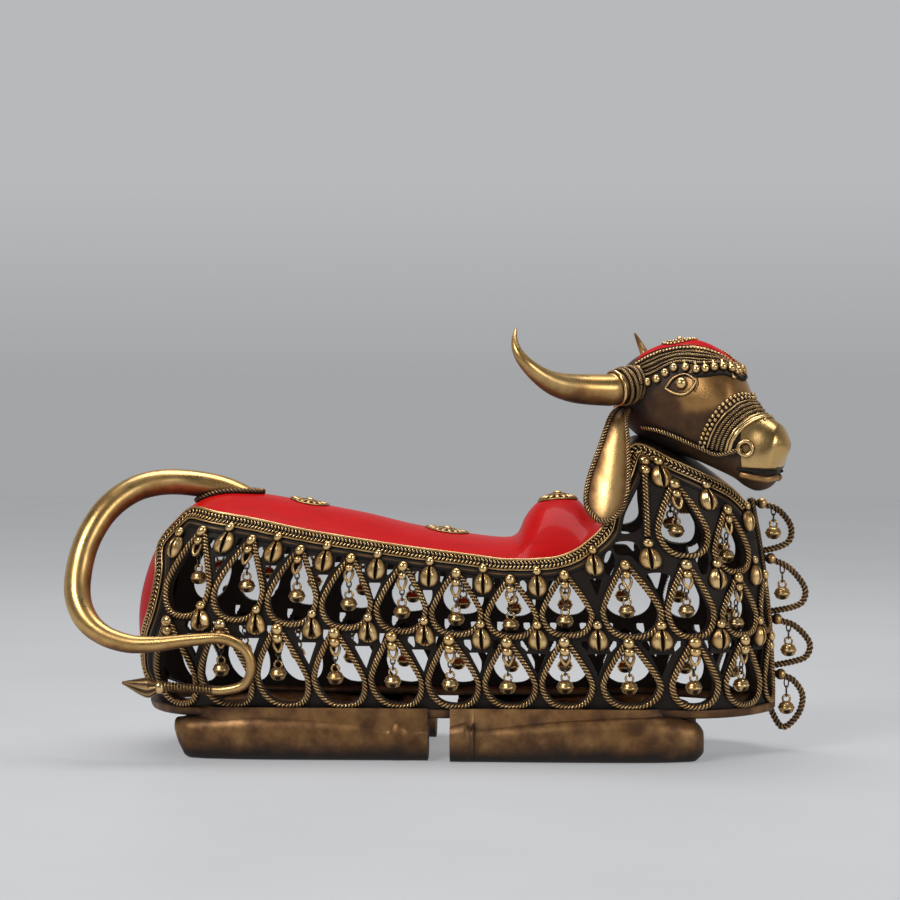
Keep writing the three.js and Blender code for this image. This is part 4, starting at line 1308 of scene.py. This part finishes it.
bell_profile = [
    [1.2, 5.0], [2.6, 4.75], [4.4, 3.9], [5.5, 2.6], [5.9, 1.0], [6.5, 0.5],
    [6.5, -0.5], [5.9, -0.9], [5.6, -2.2], [4.8, -3.5], [3.2, -4.6], [1.2, -5.0],
]
slot_width, slot_top, slot_depth = 0.35, -1.5, 1.7
bell_ring_up, bell_ring_radius, bell_ring_wire = 7.0, 2.9, 0.85
link_width, link_wire, link_overlap, link_lift = 1.7, 0.6, 1.3, 0.3
links_under_eye, links_over_bell = 5.0, 8.8


def hang(name, eye, outwards, drop):
    """A pellet bell under two links; eye is where the first link hangs."""
    form, iron = Form(), Form()
    outwards = np.asarray(outwards, float)
    across, centre = np.cross((0, 0, 1), outwards), eye - np.array([0, 0, drop])
    turn = turns(20)
    radius, z = (column[:, None] for column in np.transpose(bell_profile))
    slot = (abs(np.sin(turn)) < slot_width) & (z < slot_top)
    radius = (radius - slot_depth * slot)[..., None]
    flat = radius * (np.cos(turn)[:, None] * outwards + np.sin(turn)[:, None] * across)
    points = centre + flat + np.array([0, 0, 1]) * z[..., None]
    form.add(points, tube(len(bell_profile), len(turn), True), np.where(slot, 0.0, 0.9))
    ring(form, centre + [0, 0, bell_ring_up], bell_ring_radius, bell_ring_wire, outwards, 7, 18)
    top = eye[2] - links_under_eye
    length = (top - centre[2] - links_over_bell) / 2 + 1.0
    for k in range(2):
        middle = np.array([eye[0], eye[1], top - length / 2 - k * (length - link_overlap) + link_lift])
        normal = across if k else outwards
        ring(iron, middle, link_width, link_wire, normal, 6, 14, stretch=length / 2 / link_width)
    piece(f"brass_{name}", form, antique_brass, name)
    piece(f"links_{name}", iron, dark_iron, name)


for side, side_name in both_sides:
    for u, top, _, _, bell in all_loops:
        if bell:
            eye, outer = on_wall([[u, top - eye_drop, out] for out in (-wall_thickness / 2, 10)], side)
            outwards = unit((outer - eye) * [1, 1, 0])
            hang(f"bell_{side_name}_{bell}", eye, outwards, bell_drop - eye_drop)
for k, place in enumerate(chest_loops):
    line = chest_loop(*place)
    x, z = place[-2:]
    top = line[np.argmax(line[:, 0] >= x), 2] + 5
    hang(f"bell_chest_{k + 1}", np.array([x, 0, top]), (0, 1, 0), top - z)


# Stage, lights as (name, place, target, size, power) and camera, in metres, watts and, for the lens,
# millimetres

soft_lights = (
    ("key", (-1.1, -1.6, 1.7), (0, 0, 0.12), (0.9, 0.7), 26),
    ("fill", (1.7, -1.5, 0.9), (0, 0, 0.12), (0.7, 0.7), 10),
    ("top", (0.1, 0.3, 1.9), (0, 0, 0.1), (1.6, 0.8), 22),
)
lens, sensor_width = 96, 36


def aim(made, place, target):
    made.location = place
    made.rotation_euler = (Vector(target) - Vector(place)).to_track_quat("-Z", "Y").to_euler()


def pale_floor(reach=4.0):
    mesh = bpy.data.meshes.new("floor")
    corners = [(-reach, -reach, 0), (reach, -reach, 0), (reach, reach, 0), (-reach, reach, 0)]
    mesh.from_pydata(corners, [], [(0, 1, 2, 3)])
    material, tree, place = new_material("pale_floor")
    stops = [(0.3, (0.32, 0.325, 0.335)), (0.7, (0.36, 0.365, 0.375))]
    tone = ramp(tree, noise(tree, place, 3.0, 3.0), stops)
    glow = {"Emission Color": (0.96, 0.98, 1.0, 1), "Emission Strength": 0.26}
    set_surface(tree, {"Base Color": tone, "Roughness": 0.6, **glow})
    mesh.materials.append(material)
    return new_object("floor", mesh)


def studio():
    """A pale room, darker above and behind the eye."""
    world = bpy.data.worlds.new("studio")
    bpy.context.scene.world = world
    world.use_nodes = True
    tree = world.node_tree
    way = node(tree, "ShaderNodeTexCoord").outputs["Generated"]
    axes = node(tree, "ShaderNodeSeparateXYZ", {"Vector": way}).outputs
    horizon, wall, ceiling = (0.37, 0.375, 0.385), (0.48, 0.485, 0.5), (0.2, 0.2, 0.21)
    rise = ramp(tree, axes["Z"], [(0.0, horizon), (0.08, wall), (0.25, wall), (0.7, ceiling)])
    turned = maths(tree, "ADD", maths(tree, "MULTIPLY", axes["Y"], 0.5), 0.5)
    facing = ramp(tree, turned, [(0.3, (0.3, 0.3, 0.3)), (0.75, (1.0, 1.0, 1.0))])
    background = tree.nodes["Background"].inputs
    tree.links.new(multiplied(tree, 1.0, rise, facing), background["Color"])
    background["Strength"].default_value = 1.0


def soft_light(name, place, target, size, power):
    lamp = bpy.data.lights.new(name, "AREA")
    lamp.shape = "RECTANGLE"
    lamp.size, lamp.size_y = size
    lamp.energy = power
    aim(new_object(name, lamp), place, target)


floor = pale_floor()
studio()
bpy.context.scene.view_settings.view_transform = "Standard"
for light in soft_lights:
    soft_light(*light)

camera_data = bpy.data.cameras.new("camera")
camera_data.lens = lens
camera_data.sensor_width = sensor_width
camera = new_object("camera", camera_data)
aim(camera, (eye_place + shift) / 1000, (aim_place + shift) / 1000)
bpy.context.scene.camera = camera
